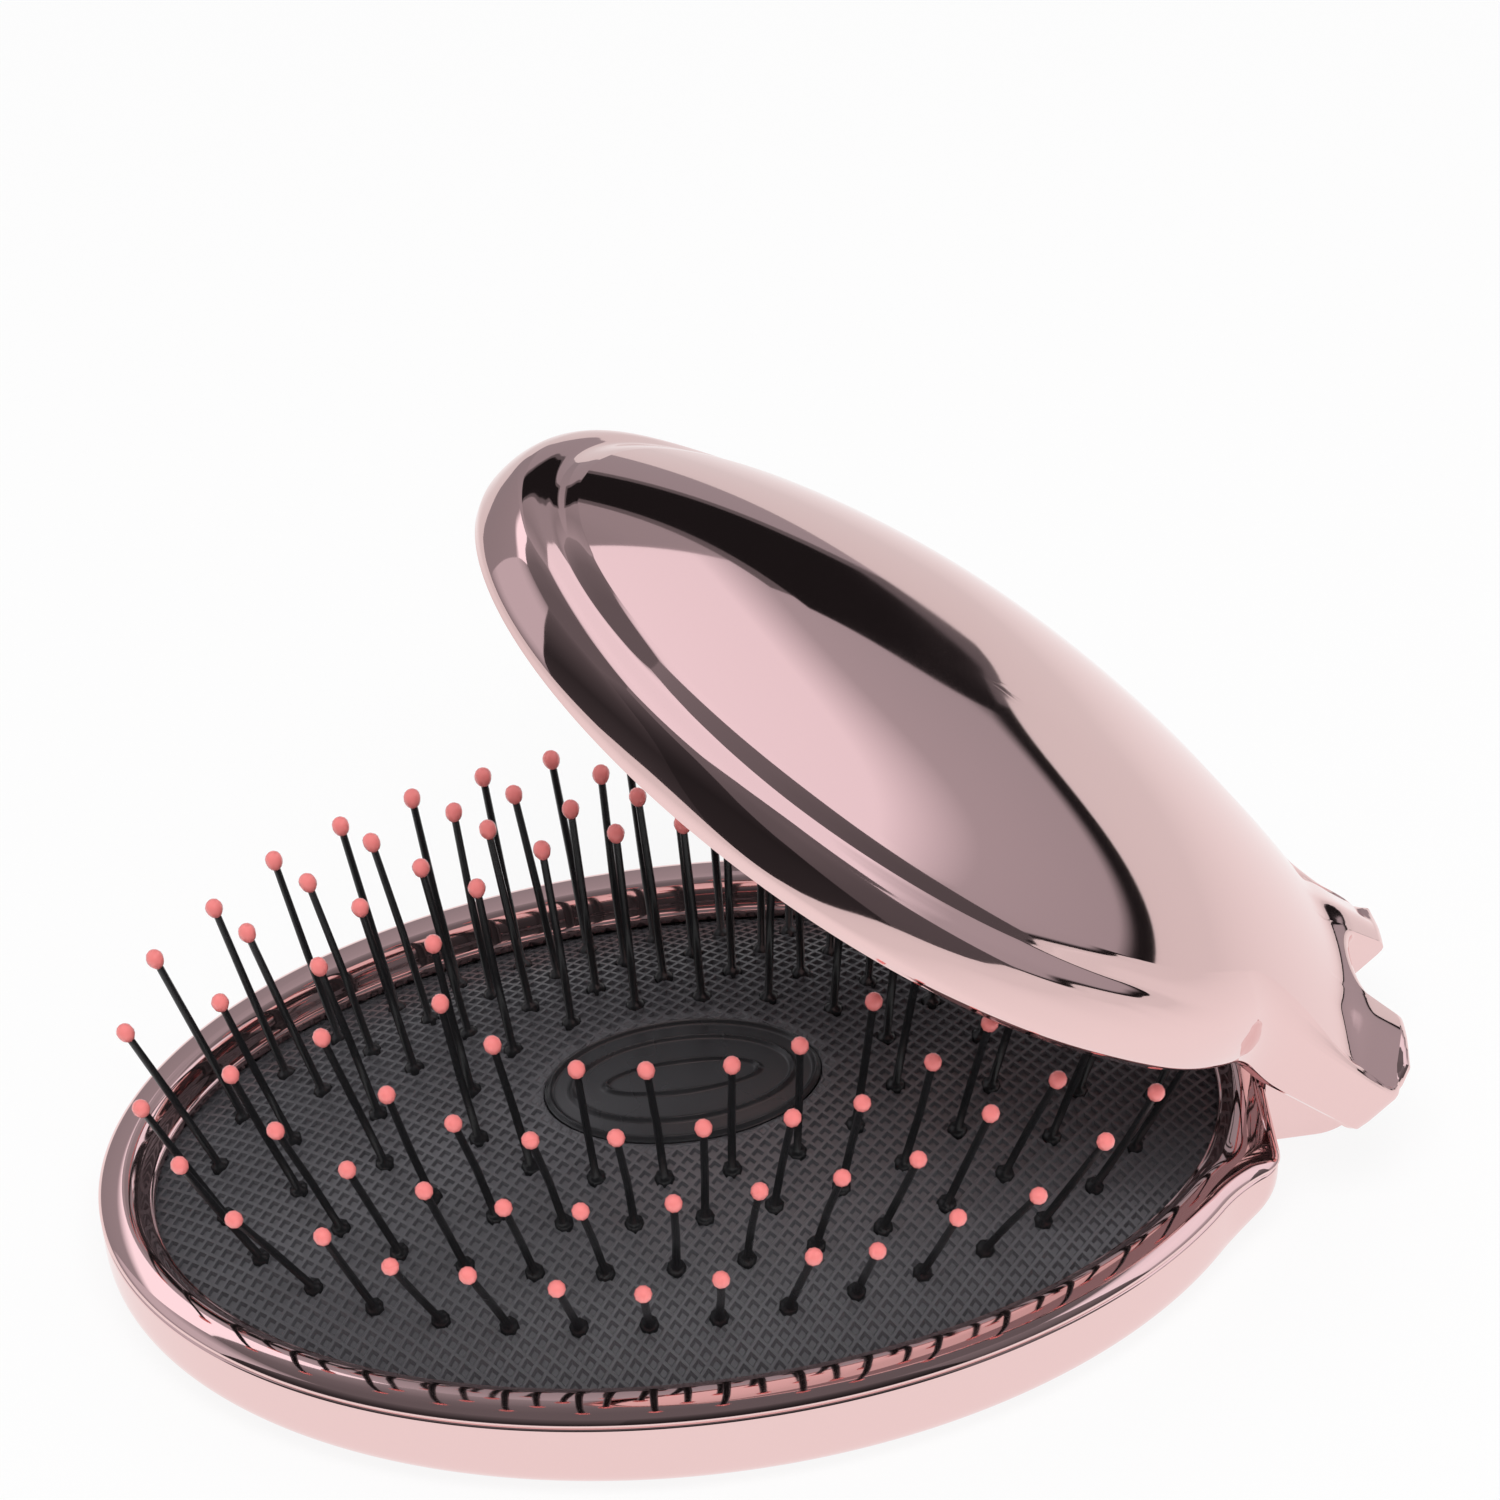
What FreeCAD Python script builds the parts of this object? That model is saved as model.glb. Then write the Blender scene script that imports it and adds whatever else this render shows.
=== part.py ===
"""Folding travel brush: an oval head with a snap-through bristle cushion and a fold-over handle.

Frame: origin at the oval's centre on the flat base, +X towards the hinge, +Z up, millimetres.
The handle is drawn shut over the head and then turned about the hinge pin to its resting angle.
"""
import FreeCAD, Part
import math
import os
from FreeCAD import Placement, Rotation, Vector

DOC = FreeCAD.newDocument("folding_travel_brush")
SHEET = DOC.addObject("Spreadsheet::Sheet", "Sizes")

# Driving dimensions in millimetres, degrees and counts
SIZES = (
    ("head_half_length", 48.0, "centre of the head's oval to its tip"),
    ("head_half_width", 30.5, "half width of the head's oval"),
    ("head_depth", 9.0, "flat base to the parting line under the rim frame"),
    ("head_wall", 2.4, "side wall of the back shell"),
    ("head_floor", 1.8, "floor of the back shell"),
    ("belly_spread", 3.0, "how far the belly's oval stands outside the head at the parting line"),
    ("belly_depth", 16.0, "height of the half ellipsoid that rounds the belly"),
    ("neck_cut", 1.0, "tip of the head's oval to the neck's end face"),
    ("neck_half_width", 11.2, "half width of the neck and of the lugs"),
    ("neck_blend", 12.0, "radius of the hollow curve from oval to neck"),
    ("rim_height", 1.2, "crest of the rim frame above the parting line"),
    ("rim_round", 0.9, "rounding of the frame's outer edge"),
    ("rim_skirt", 1.4, "depth of the frame's skirt inside the shell"),
    ("rim_band_end", 4.5, "head's tip to the frame's opening at the cushion"),
    ("rim_band_side", 5.0, "head's side to the frame's opening at the cushion"),
    ("cove_width", 2.8, "width of the slope from the crest to the opening"),
    ("fit_gap", 0.2, "assembly clearance between fixed pieces"),
    ("soft_gap", 0.3, "clearance round the rubber pieces"),
    ("cushion_crown", 7.25, "crown of the cushion above the parting line"),
    ("cushion_skin", 1.2, "thickness of the rubber"),
    ("cushion_fullness", 0.6, "share of the dome's ellipsoid that the opening cuts"),
    ("flange_width", 2.2, "width of the cushion's flange inside its edge"),
    ("clamp_height", 1.6, "height of the clamp ring"),
    ("clamp_width", 5.0, "width of the clamp ring"),
    ("screw_count", 6, "screws in the clamp ring"),
    ("screw_radius", 0.9, "shank radius of the clamp screws"),
    ("screw_head_radius", 1.7, "head radius of the clamp screws"),
    ("screw_length", 3.6, "length of the clamp screws"),
    ("boss_radius", 2.2, "radius of the screw bosses"),
    ("pad_half_length", 11.2, "half length of the press pad"),
    ("pad_half_width", 6.6, "half width of the press pad"),
    ("pad_height", 1.8, "height of the press pad"),
    ("pad_ridge", 0.35, "height of the raised ovals on the press pad"),
    ("pad_ridge_width", 0.5, "width of the raised ovals"),
    ("pad_travel", 6.7, "travel of the press pad as the cushion snaps in"),
    ("plunger_radius", 7.2, "radius of the plunger and the back button"),
    ("plunger_wall", 1.6, "wall of the plunger"),
    ("button_height", 1.4, "height of the back button"),
    ("button_recess", 0.3, "button face above the base when the cushion is snapped in"),
    ("dish_depth", 0.5, "depth of the thumb dish in the back button"),
    ("slide_gap", 0.08, "radial running clearance of the plunger"),
    ("bush_wall", 1.4, "wall of the guide bush"),
    ("stem_radius", 5.2, "radius of the plunger's stem under the press pad"),
    ("stem_height", 1.6, "height of the plunger's stem"),
    ("plunger_screw_radius", 1.2, "shank radius of the plunger screw"),
    ("plunger_screw_head", 2.2, "head radius of the plunger screw"),
    ("pin_radius", 0.35, "radius of a bristle"),
    ("pin_length", 15.4, "length of a bristle below its ball tip"),
    ("tip_radius", 0.8, "radius of a ball tip"),
    ("row_count_1", 16, "bristles in the inner row"),
    ("row_count_2", 22, "bristles in the second row"),
    ("row_count_3", 28, "bristles in the third row"),
    ("row_count_4", 34, "bristles in the outer row"),
    ("row_inset_end_1", 25.9, "opening to the inner row at the oval's ends"),
    ("row_inset_end_2", 18.3, "opening to the second row at the oval's ends"),
    ("row_inset_end_3", 11.3, "opening to the third row at the oval's ends"),
    ("row_inset_end_4", 5.3, "opening to the outer row at the oval's ends"),
    ("row_inset_side_1", 15.8, "opening to the inner row at the oval's sides"),
    ("row_inset_side_2", 12.1, "opening to the second row at the oval's sides"),
    ("row_inset_side_3", 8.4, "opening to the third row at the oval's sides"),
    ("row_inset_side_4", 4.5, "opening to the outer row at the oval's sides"),
    ("handle_tip_inset", 9.0, "handle's tip behind the head's tip when shut"),
    ("handle_root_inset", 3.4, "hinge end of the handle's oval inside the head's oval"),
    ("handle_side_inset", 5.7, "handle's side inside the head's side when shut"),
    ("handle_wall", 1.6, "thickness of the handle shell"),
    ("handle_side", 5.2, "height of the handle's side at the shoulder"),
    ("handle_crown", 11.6, "height of the handle's dome"),
    ("dome_fullness", 0.9, "share of the handle dome's ellipsoid that the oval cuts"),
    ("shut_gap", 5.45, "handle rim above the parting line when shut"),
    ("lug_overhang", 1.6, "hinge axis to the end of the lugs"),
    ("lug_length", 12.0, "length of the lugs' block from their end"),
    ("lug_height", 3.6, "height of the lugs above the handle's rim"),
    ("lug_drop", 2.7, "bottom of the lugs below the handle's rim"),
    ("lug_bevel", 2.4, "bevel along the lugs"),
    ("notch_half_width", 3.7, "half width of the notch between the lugs"),
    ("notch_depth", 4.8, "depth of the notch from the lugs' end"),
    ("hinge_reach", 5.0, "hinge axis beyond the tip of the head's oval"),
    ("hinge_rise", 3.9, "hinge axis above the parting line"),
    ("knuckle_half_width", 3.2, "half width of the knuckle"),
    ("knuckle_radius", 2.2, "radius of the knuckle and the ears round the pin"),
    ("knuckle_drop", 6.2, "bottom of the knuckle below the parting line"),
    ("knuckle_toe_radius", 4.0, "rounding of the knuckle's lower end"),
    ("hinge_pin_radius", 1.2, "radius of the hinge pin"),
    ("hinge_pin_gap", 0.05, "radial running clearance of the hinge pin"),
    ("hinge_pin_inset", 2.6, "end of the hinge pin inside the lug's outer face"),
    ("washer_gap", 0.05, "side clearance of a friction washer"),
    ("cap_radius", 1.6, "radius of the hinge cap"),
    ("cap_height", 1.2, "height of the hinge cap"),
    ("rest_angle", 43.4, "opening of the handle at rest, from shut"),
)


def fill_sheet():
    """Write every driving dimension into the sheet and give its cell an alias."""
    for row, (alias, value, meaning) in enumerate(SIZES, start=1):
        SHEET.set(f"A{row}", alias)
        SHEET.set(f"B{row}", str(value))
        SHEET.set(f"C{row}", meaning)
        SHEET.setAlias(f"B{row}", alias)
    DOC.recompute()


fill_sheet()


def size(alias):
    """Value of a driving dimension."""
    return float(SHEET.get(alias))


def bind(item, **expressions):
    """Bind properties of an object to expressions of the sheet's aliases."""
    for name, text in expressions.items():
        item.setExpression(name.replace("__", "."), text)
    return item


def place(item, x="0", y="0", z="0"):
    """Bind the position of an object to expressions, in millimetres."""
    return bind(item, Placement__Base__x=x, Placement__Base__y=y, Placement__Base__z=z)


def s(text):
    """Expression text in which every name marked with @ is an alias of the sheet."""
    return text.replace("@", "Sizes.")


def box(name, x, y, z, length, width, height):
    """Box with its low corner and sizes bound to the sheet."""
    item = DOC.addObject("Part::Box", name)
    bind(item, Length=length, Width=width, Height=height)
    return place(item, x, y, z)


def cylinder(name, radius, height, x="0", y="0", z="0"):
    """Upright cylinder bound to the sheet."""
    item = DOC.addObject("Part::Cylinder", name)
    bind(item, Radius=radius, Height=height)
    return place(item, x, y, z)


def cross_cylinder(name, radius, low_y, length):
    """Cylinder about the hinge axis, from low_y along +Y."""
    item = DOC.addObject("Part::Cylinder", name)
    bind(item, Radius=radius, Height=length)
    item.Placement = Placement(Vector(), Rotation(Vector(1, 0, 0), -90))
    return place(item, HINGE_X, low_y, s("@head_depth + @hinge_rise"))


def oval_prism(name, half_length, half_width, height, z, x="0"):
    """Elliptical prism: an ellipse drawn at height z and raised by a height."""
    rim = DOC.addObject("Part::Ellipse", name + "_curve")
    bind(rim, MajorRadius=half_length, MinorRadius=half_width)
    place(rim, x, "0", z)
    return raise_profile(name, rim, height)


def raise_profile(name, profile, height):
    """Solid prism of a closed profile, raised along +Z."""
    item = DOC.addObject("Part::Extrusion", name)
    item.Base = profile
    item.DirMode = "Custom"
    item.Dir = Vector(0, 0, 1)
    item.Solid = True
    return bind(item, LengthFwd=height)


def ellipsoid(name, half_x, half_y, half_z, x, z):
    """Full ellipsoid centred on the XZ plane."""
    item = DOC.addObject("Part::Ellipsoid", name)
    bind(item, Radius1=half_z, Radius2=half_x, Radius3=half_y)
    return place(item, x, "0", z)


def oval_funnel(name, low_a, low_b, low_z, high_a, high_b, high_z):
    """Solid between two ellipses at different heights."""
    ends = []
    for end, a, b, z in (("low", low_a, low_b, low_z), ("high", high_a, high_b, high_z)):
        curve = DOC.addObject("Part::Ellipse", f"{name}_{end}")
        bind(curve, MajorRadius=a, MinorRadius=b)
        ends.append(place(curve, "0", "0", z))
    item = DOC.addObject("Part::Loft", name)
    item.Sections = ends
    item.Solid = True
    item.Ruled = True
    return item


def cut(name, base, tool):
    """Difference of two objects."""
    item = DOC.addObject("Part::Cut", name)
    item.Base = base
    item.Tool = tool
    return item


def common(name, *shapes):
    """Intersection of objects."""
    item = DOC.addObject("Part::MultiCommon", name)
    item.Shapes = list(shapes)
    return item


def fuse(name, *shapes):
    """Union of objects."""
    item = DOC.addObject("Part::MultiFuse", name)
    item.Shapes = list(shapes)
    item.Refine = True
    return item


def feature(name, shape, placement=None):
    """Object whose shape is worked out in code from the sheet."""
    item = DOC.addObject("Part::Feature", name)
    item.Shape = shape
    if placement is not None:
        item.Placement = placement
    return item


def blend_angle(half_length, half_width, neck, radius):
    """Ellipse parameter where a hollow arc of the neck's line touches the oval.

    The arc's centre lies one radius outside the oval along its normal, and one radius outside
    the neck's side line. The parameter is found by halving.
    """
    low, high = 0.0, math.pi / 2
    for _ in range(60):
        angle = (low + high) / 2
        if blend_centre(half_length, half_width, radius, angle).y > neck + radius:
            high = angle
        else:
            low = angle
    return (low + high) / 2


def blend_centre(half_length, half_width, radius, angle):
    """Centre of the hollow arc that touches the oval at a parameter."""
    point = Vector(half_length * math.cos(angle), half_width * math.sin(angle), 0)
    normal = Vector(half_width * math.cos(angle), half_length * math.sin(angle), 0).normalize()
    return point + normal * radius


def necked_oval(half_length, half_width, centre, neck, radius, end):
    """Face of an oval whose +X end runs through hollow arcs into a neck cut square at end."""
    angle = blend_angle(half_length, half_width, neck, radius)
    touch = Vector(half_length * math.cos(angle), half_width * math.sin(angle), 0)
    middle = blend_centre(half_length, half_width, radius, angle)
    stop_x = min(end - centre, middle.x)
    stop = Vector(stop_x, middle.y - math.sqrt(radius ** 2 - (stop_x - middle.x) ** 2), 0)
    towards = ((touch - middle).normalize() + (stop - middle).normalize()).normalize()
    corner = Vector(end - centre, stop.y, 0)
    shift = Vector(centre, 0, 0)
    oval = Part.Ellipse(shift, half_length, half_width)
    edges = [Part.ArcOfEllipse(oval, angle, 2 * math.pi - angle).toShape()]
    for side in (1, -1):
        stations = (touch, middle + towards * radius, stop, corner)
        points = [Vector(p.x + centre, p.y * side, 0) for p in stations]
        edges.append(Part.Arc(*points[:3]).toShape())
        if corner.x - stop.x > 1e-6:
            edges.append(Part.LineSegment(points[2], points[3]).toShape())
    edges.append(Part.LineSegment(shift + corner, shift + Vector(corner.x, -corner.y, 0)).toShape())
    return Part.Face(Part.Wire(Part.__sortEdges__(edges)))


# Heights and lengths that several pieces share, as expressions and as numbers
PARTING = s("@head_depth")
FLANGE_TOP = s("(@head_depth - @rim_skirt)")
FLANGE_LOW = s("(@head_depth - @rim_skirt - @cushion_skin)")
CLAMP_LOW = s("(@head_depth - @rim_skirt - @cushion_skin - @clamp_height)")
BUTTON_LOW = s("(@button_recess + @pad_travel)")
CAVITY_A = s("(@head_half_length - @head_wall)")
CAVITY_B = s("(@head_half_width - @head_wall)")
OPENING_A = s("(@head_half_length - @rim_band_end)")
OPENING_B = s("(@head_half_width - @rim_band_side)")
NECK_END = s("(@head_half_length - @neck_cut)")
HINGE_X = s("(@head_half_length + @hinge_reach)")
LUG_END = s("(@head_half_length + @hinge_reach + @lug_overhang)")
PIN_REACH = s("(@neck_half_width - @hinge_pin_inset)")
HANDLE_A = s("(@head_half_length - (@handle_tip_inset + @handle_root_inset) / 2)")
HANDLE_B = s("(@head_half_width - @handle_side_inset)")
HANDLE_MIDDLE = s("((@handle_tip_inset - @handle_root_inset) / 2)")
PARTING_Z = size("head_depth")
FLANGE_Z = PARTING_Z - size("rim_skirt")
CROWN_Z = PARTING_Z + size("cushion_crown")
HINGE = Vector(size("head_half_length") + size("hinge_reach"), 0, PARTING_Z + size("hinge_rise"))
OPENING_LENGTH = size("head_half_length") - size("rim_band_end")
OPENING_WIDTH = size("head_half_width") - size("rim_band_side")


def dome_axes():
    """Half axes of the cushion's ellipsoid: its cap ends at the opening, its top is the crown."""
    full = size("cushion_fullness")
    rise = CROWN_Z - FLANGE_Z
    half_z = rise / (1 - math.sqrt(1 - full ** 2))
    half_x = (OPENING_LENGTH - size("soft_gap")) / full
    half_y = (OPENING_WIDTH - size("soft_gap")) / full
    return half_x, half_y, half_z


def dome_point(x, y):
    """Point of the cushion's outer face above a plan position."""
    half_x, half_y, half_z = dome_axes()
    height = math.sqrt(1 - (x / half_x) ** 2 - (y / half_y) ** 2)
    return Vector(x, y, CROWN_Z - half_z + half_z * height)


def dome_normal(point):
    """Outward normal of the cushion's outer face."""
    half_x, half_y, half_z = dome_axes()
    low = CROWN_Z - half_z
    return Vector(point.x / half_x ** 2, point.y / half_y ** 2, (point.z - low) / half_z ** 2).normalize()


def row_points(half_length, half_width, count):
    """Plan positions spaced evenly along an oval, by walking its length in small steps."""
    steps = 2000
    path = [Vector(half_length * math.cos(2 * math.pi * k / steps),
                   half_width * math.sin(2 * math.pi * k / steps), 0) for k in range(steps + 1)]
    lengths = [0.0]
    for first, second in zip(path, path[1:]):
        lengths.append(lengths[-1] + first.distanceToPoint(second))
    points = []
    k = 0
    for number in range(count):
        target = lengths[-1] * (number + 0.5) / count
        while lengths[k] < target:
            k += 1
        points.append(path[k])
    return points


def screw_places():
    """Plan positions of the clamp screws, on the middle line of the clamp ring."""
    inset = size("head_wall") + size("fit_gap") + size("clamp_width") / 2
    a = size("head_half_length") - inset
    b = size("head_half_width") - inset
    count = int(size("screw_count"))
    turns = [2 * math.pi * (k + 0.5) / count for k in range(count)]
    return [Vector(a * math.cos(turn), b * math.sin(turn), 0) for turn in turns]


def screw_holes(name, radius, low, height):
    """Upright cylinders at the clamp screws' places."""
    solids = [Part.makeCylinder(radius, height, place_ + Vector(0, 0, low)) for place_ in screw_places()]
    return feature(name, Part.makeCompound(solids))


def head_outline():
    """Face of the head's outline with its neck."""
    return necked_oval(size("head_half_length"), size("head_half_width"), 0.0,
                       size("neck_half_width"), size("neck_blend"),
                       size("head_half_length") - size("neck_cut"))


def make_back_shell():
    """Tray with a rounded belly, screw bosses, bush hole and the hinge knuckle."""
    plan = feature("head_plan", head_outline())
    block = raise_profile("head_block", plan, PARTING)
    belly = ellipsoid("head_belly", s("@head_half_length + @belly_spread"),
                      s("@head_half_width + @belly_spread"), s("@belly_depth"), "0", PARTING)
    outer = common("head_outer", block, belly)
    well = oval_prism("head_well", CAVITY_A, CAVITY_B, PARTING, s("@head_floor"))
    hollow = ellipsoid("head_hollow", s("@head_half_length + @belly_spread - @head_wall"),
                       s("@head_half_width + @belly_spread - @head_wall"),
                       s("@belly_depth - @head_floor"), "0", PARTING)
    tray = cut("head_tray", outer, common("head_cavity", well, hollow))
    clamp_low = PARTING_Z - size("rim_skirt") - size("cushion_skin") - size("clamp_height")
    posts = screw_holes("boss_posts", size("boss_radius"), 0, clamp_low)
    bosses = common("head_bosses", posts, outer)
    web = box("knuckle_web", s(NECK_END + " - 1"), s("-@knuckle_half_width"),
              s("@head_depth - @knuckle_drop"), s("@neck_cut + @hinge_reach + @knuckle_radius + 1"),
              s("2 * @knuckle_half_width"), s("@knuckle_drop + @rim_height"))
    post = box("knuckle_post", s(HINGE_X + " - @knuckle_radius"), s("-@knuckle_half_width"), PARTING,
               s("2 * @knuckle_radius"), s("2 * @knuckle_half_width"), s("@hinge_rise"))
    DOC.recompute()
    far_x = HINGE.x + size("knuckle_radius")
    low_z = PARTING_Z - size("knuckle_drop")
    toe = DOC.addObject("Part::Fillet", "knuckle_toe")
    toe.Base = web
    toe.Edges = [(k, size("knuckle_toe_radius"), size("knuckle_toe_radius")) for k, edge in
                 enumerate(web.Shape.Edges, 1) if abs(edge.CenterOfMass.x - far_x) < 1e-6
                 and abs(edge.CenterOfMass.z - low_z) < 1e-6]
    barrel = cross_cylinder("knuckle_barrel", s("@knuckle_radius"), s("-@knuckle_half_width"),
                            s("2 * @knuckle_half_width"))
    whole = fuse("head_joined", tray, bosses, toe, post, barrel)
    bores = fuse("head_bores",
                 cylinder("bush_hole", s("@plunger_radius + @slide_gap + @bush_wall + @slide_gap"),
                          s("@head_depth"), z="-1"),
                 cross_cylinder("knuckle_bore", s("@hinge_pin_radius + @hinge_pin_gap"),
                                s("-@neck_half_width"), s("2 * @neck_half_width")))
    pilot = screw_holes("boss_pilots", size("screw_radius"), clamp_low - size("screw_length"),
                        size("screw_length") + size("clamp_height"))
    return cut("head_back_shell", cut("head_bored", whole, bores), pilot)


def make_rim_frame():
    """Plated ring on the tray with a rounded crest, a cove and a skirt inside the wall."""
    plan = feature("rim_plan", head_outline(), Placement(Vector(0, 0, PARTING_Z), Rotation()))
    slab = raise_profile("rim_slab", plan, s("@rim_height"))
    DOC.recompute()
    top = PARTING_Z + size("rim_height")
    crest = DOC.addObject("Part::Fillet", "rim_crest")
    crest.Base = slab
    crest.Edges = [(k, size("rim_round"), size("rim_round")) for k, edge in enumerate(slab.Shape.Edges, 1)
                   if abs(edge.BoundBox.ZMin - top) < 1e-6]
    skirt = oval_prism("rim_skirt_block", s(CAVITY_A + " - @fit_gap"), s(CAVITY_B + " - @fit_gap"),
                       s("@rim_skirt"), FLANGE_TOP)
    mouth = oval_funnel("rim_mouth", OPENING_A, OPENING_B, FLANGE_TOP,
                        s(OPENING_A + " + @cove_width"), s(OPENING_B + " + @cove_width"),
                        s("@head_depth + @rim_height"))
    gate = box("rim_gate", s(NECK_END + " - 1 - @fit_gap"), s("-@knuckle_half_width - @fit_gap"),
               s("@head_depth - @rim_skirt"), s("@fit_gap + 2"), s("2 * (@knuckle_half_width + @fit_gap)"),
               s("@rim_skirt + 2 * @rim_height"))
    ring = cut("rim_ring", fuse("rim_joined", crest, skirt), mouth)
    return cut("head_rim_frame", ring, gate)


def make_cushion():
    """Rubber dome with a flange under the frame and an oval hole for the press pad."""
    half_x, half_y, half_z = dome_axes()
    low = CROWN_Z - half_z
    skin = size("cushion_skin")
    outer = Part.makeSphere(1.0)
    inner = Part.makeSphere(1.0)
    outer = outer.transformGeometry(FreeCAD.Matrix(half_x, 0, 0, 0, 0, half_y, 0, 0, 0, 0, half_z, low))
    inner = inner.transformGeometry(FreeCAD.Matrix(half_x - skin, 0, 0, 0, 0, half_y - skin, 0, 0,
                                                   0, 0, half_z - skin, low))
    dome = cut("cushion_dome", feature("dome_outer", outer), feature("dome_inner", inner))
    keep = oval_prism("cushion_keep", s(OPENING_A + " - @soft_gap"), s(OPENING_B + " - @soft_gap"),
                      s("@cushion_crown + @rim_skirt + 1"), FLANGE_TOP)
    plate = oval_prism("flange_plate", s(CAVITY_A + " - @soft_gap"), s(CAVITY_B + " - @soft_gap"),
                       s("@cushion_skin"), FLANGE_LOW)
    eye = oval_prism("flange_eye", s(OPENING_A + " - @flange_width"), s(OPENING_B + " - @flange_width"),
                     s("@head_depth"), s("@head_floor"))
    skin_part = fuse("cushion_skin_part", common("cushion_cap", dome, keep), cut("flange_ring", plate, eye))
    hole = oval_prism("pad_hole", s("@pad_half_length + @soft_gap"), s("@pad_half_width + @soft_gap"),
                      s("2 * @cushion_crown"), s("@head_depth"))
    return cut("cushion", skin_part, hole)


def make_clamp_ring():
    """Ring that holds the cushion's flange down on the bosses."""
    outer = oval_prism("clamp_outer", s(CAVITY_A + " - @fit_gap"), s(CAVITY_B + " - @fit_gap"),
                       s("@clamp_height"), CLAMP_LOW)
    inner = oval_prism("clamp_inner", s(CAVITY_A + " - @fit_gap - @clamp_width"),
                       s(CAVITY_B + " - @fit_gap - @clamp_width"), s("2 * @clamp_height"), CLAMP_LOW)
    ring = cut("clamp_blank", outer, inner)
    clamp_low = FLANGE_Z - size("cushion_skin") - size("clamp_height")
    sinks = []
    for spot in screw_places():
        shank = Part.makeCylinder(size("screw_radius") + size("slide_gap"), size("clamp_height"),
                                  spot + Vector(0, 0, clamp_low))
        head = Part.makeCylinder(size("screw_head_radius") + size("slide_gap"), size("clamp_height") / 2,
                                 spot + Vector(0, 0, clamp_low + size("clamp_height") / 2))
        sinks.append(shank.fuse(head))
    return cut("clamp_ring", ring, feature("clamp_sinks", Part.makeCompound(sinks)))


def make_clamp_screws():
    """Flat-headed screws through the clamp ring into the bosses."""
    top = FLANGE_Z - size("cushion_skin")
    half = size("clamp_height") / 2
    screws = []
    for spot in screw_places():
        head = Part.makeCylinder(size("screw_head_radius"), half - size("slide_gap"),
                                 spot + Vector(0, 0, top - half))
        shank = Part.makeCylinder(size("screw_radius") - size("slide_gap"), size("screw_length") - half,
                                  spot + Vector(0, 0, top - size("screw_length")))
        slot = Part.makeBox(2 * size("screw_head_radius"), size("screw_radius") / 2, half / 2,
                            spot + Vector(-size("screw_head_radius"), -size("screw_radius") / 4,
                                          top - half * 0.6))
        screws.append(head.fuse(shank).removeSplitter().cut(slot))
    return feature("clamp_screws", Part.makeCompound(screws))


def make_guide_bush():
    """Sleeve in the floor in which the plunger slides."""
    tall = s("@head_depth + @cushion_crown - @pad_height - @pad_travel - @soft_gap - @button_recess")
    tube = cylinder("bush_tube", s("@plunger_radius + @slide_gap + @bush_wall"), tall, z=s("@button_recess"))
    bore = cylinder("bush_bore", s("@plunger_radius + @slide_gap"), s("2 * (" + tall + ")"), z="-1")
    return cut("guide_bush", tube, bore)


def make_press_pad():
    """Oval button of the cushion's crown with two raised ovals, on a stem down to the plunger."""
    half_x, half_y, half_z = dome_axes()
    dome = Part.makeSphere(1.0).transformGeometry(
        FreeCAD.Matrix(half_x, 0, 0, 0, 0, half_y, 0, 0, 0, 0, half_z, CROWN_Z - half_z))
    body = oval_prism("pad_body", s("@pad_half_length"), s("@pad_half_width"), s("@pad_height + 1"),
                      s("@head_depth + @cushion_crown - @pad_height"))
    pieces = [common("pad_cap", body, feature("pad_dome", dome))]
    for number, share in enumerate((0.80, 0.50), start=1):
        low = s("@head_depth + @cushion_crown - @pad_height / 2")
        rise = s("@pad_height / 2 + @pad_ridge * " + str(0.4 if number == 1 else 0.8))
        half_l = s(f"@pad_half_length * {share}")
        half_w = s(f"@pad_half_width * {share}")
        wall = oval_prism(f"pad_ridge_{number}_out", half_l, half_w, rise, low)
        eye = oval_prism(f"pad_ridge_{number}_in", s(half_l + " - @pad_ridge_width"),
                         s(half_w + " - @pad_ridge_width"), s("2 * @pad_height"), low)
        pieces.append(cut(f"pad_ridge_{number}", wall, eye))
    return fuse("press_pad", *pieces)


PLUNGER_TOP = s("(@head_depth + @cushion_crown - @pad_height)")
PLUNGER_LOW = s("(" + BUTTON_LOW + " + @button_height)")


def make_plunger():
    """Cup under the press pad with a stem to the pad and a screw post inside."""
    deep = s("(" + PLUNGER_TOP + " - @stem_height - " + PLUNGER_LOW + ")")
    tube = cylinder("plunger_tube", s("@plunger_radius - @slide_gap"), deep, z=PLUNGER_LOW)
    bore = cylinder("plunger_bore", s("@plunger_radius - @plunger_wall"), s(deep + " - @plunger_wall"),
                    z=PLUNGER_LOW)
    stem = cylinder("plunger_stem", s("@stem_radius"), s("@stem_height"),
                    z=s(PLUNGER_TOP + " - @stem_height"))
    post = cylinder("plunger_post", s("@plunger_screw_head"), deep, z=PLUNGER_LOW)
    pilot = cylinder("plunger_pilot", s("@plunger_screw_radius"), deep, z=PLUNGER_LOW)
    return cut("plunger", fuse("plunger_joined", cut("plunger_cup", tube, bore), stem, post), pilot)


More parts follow.
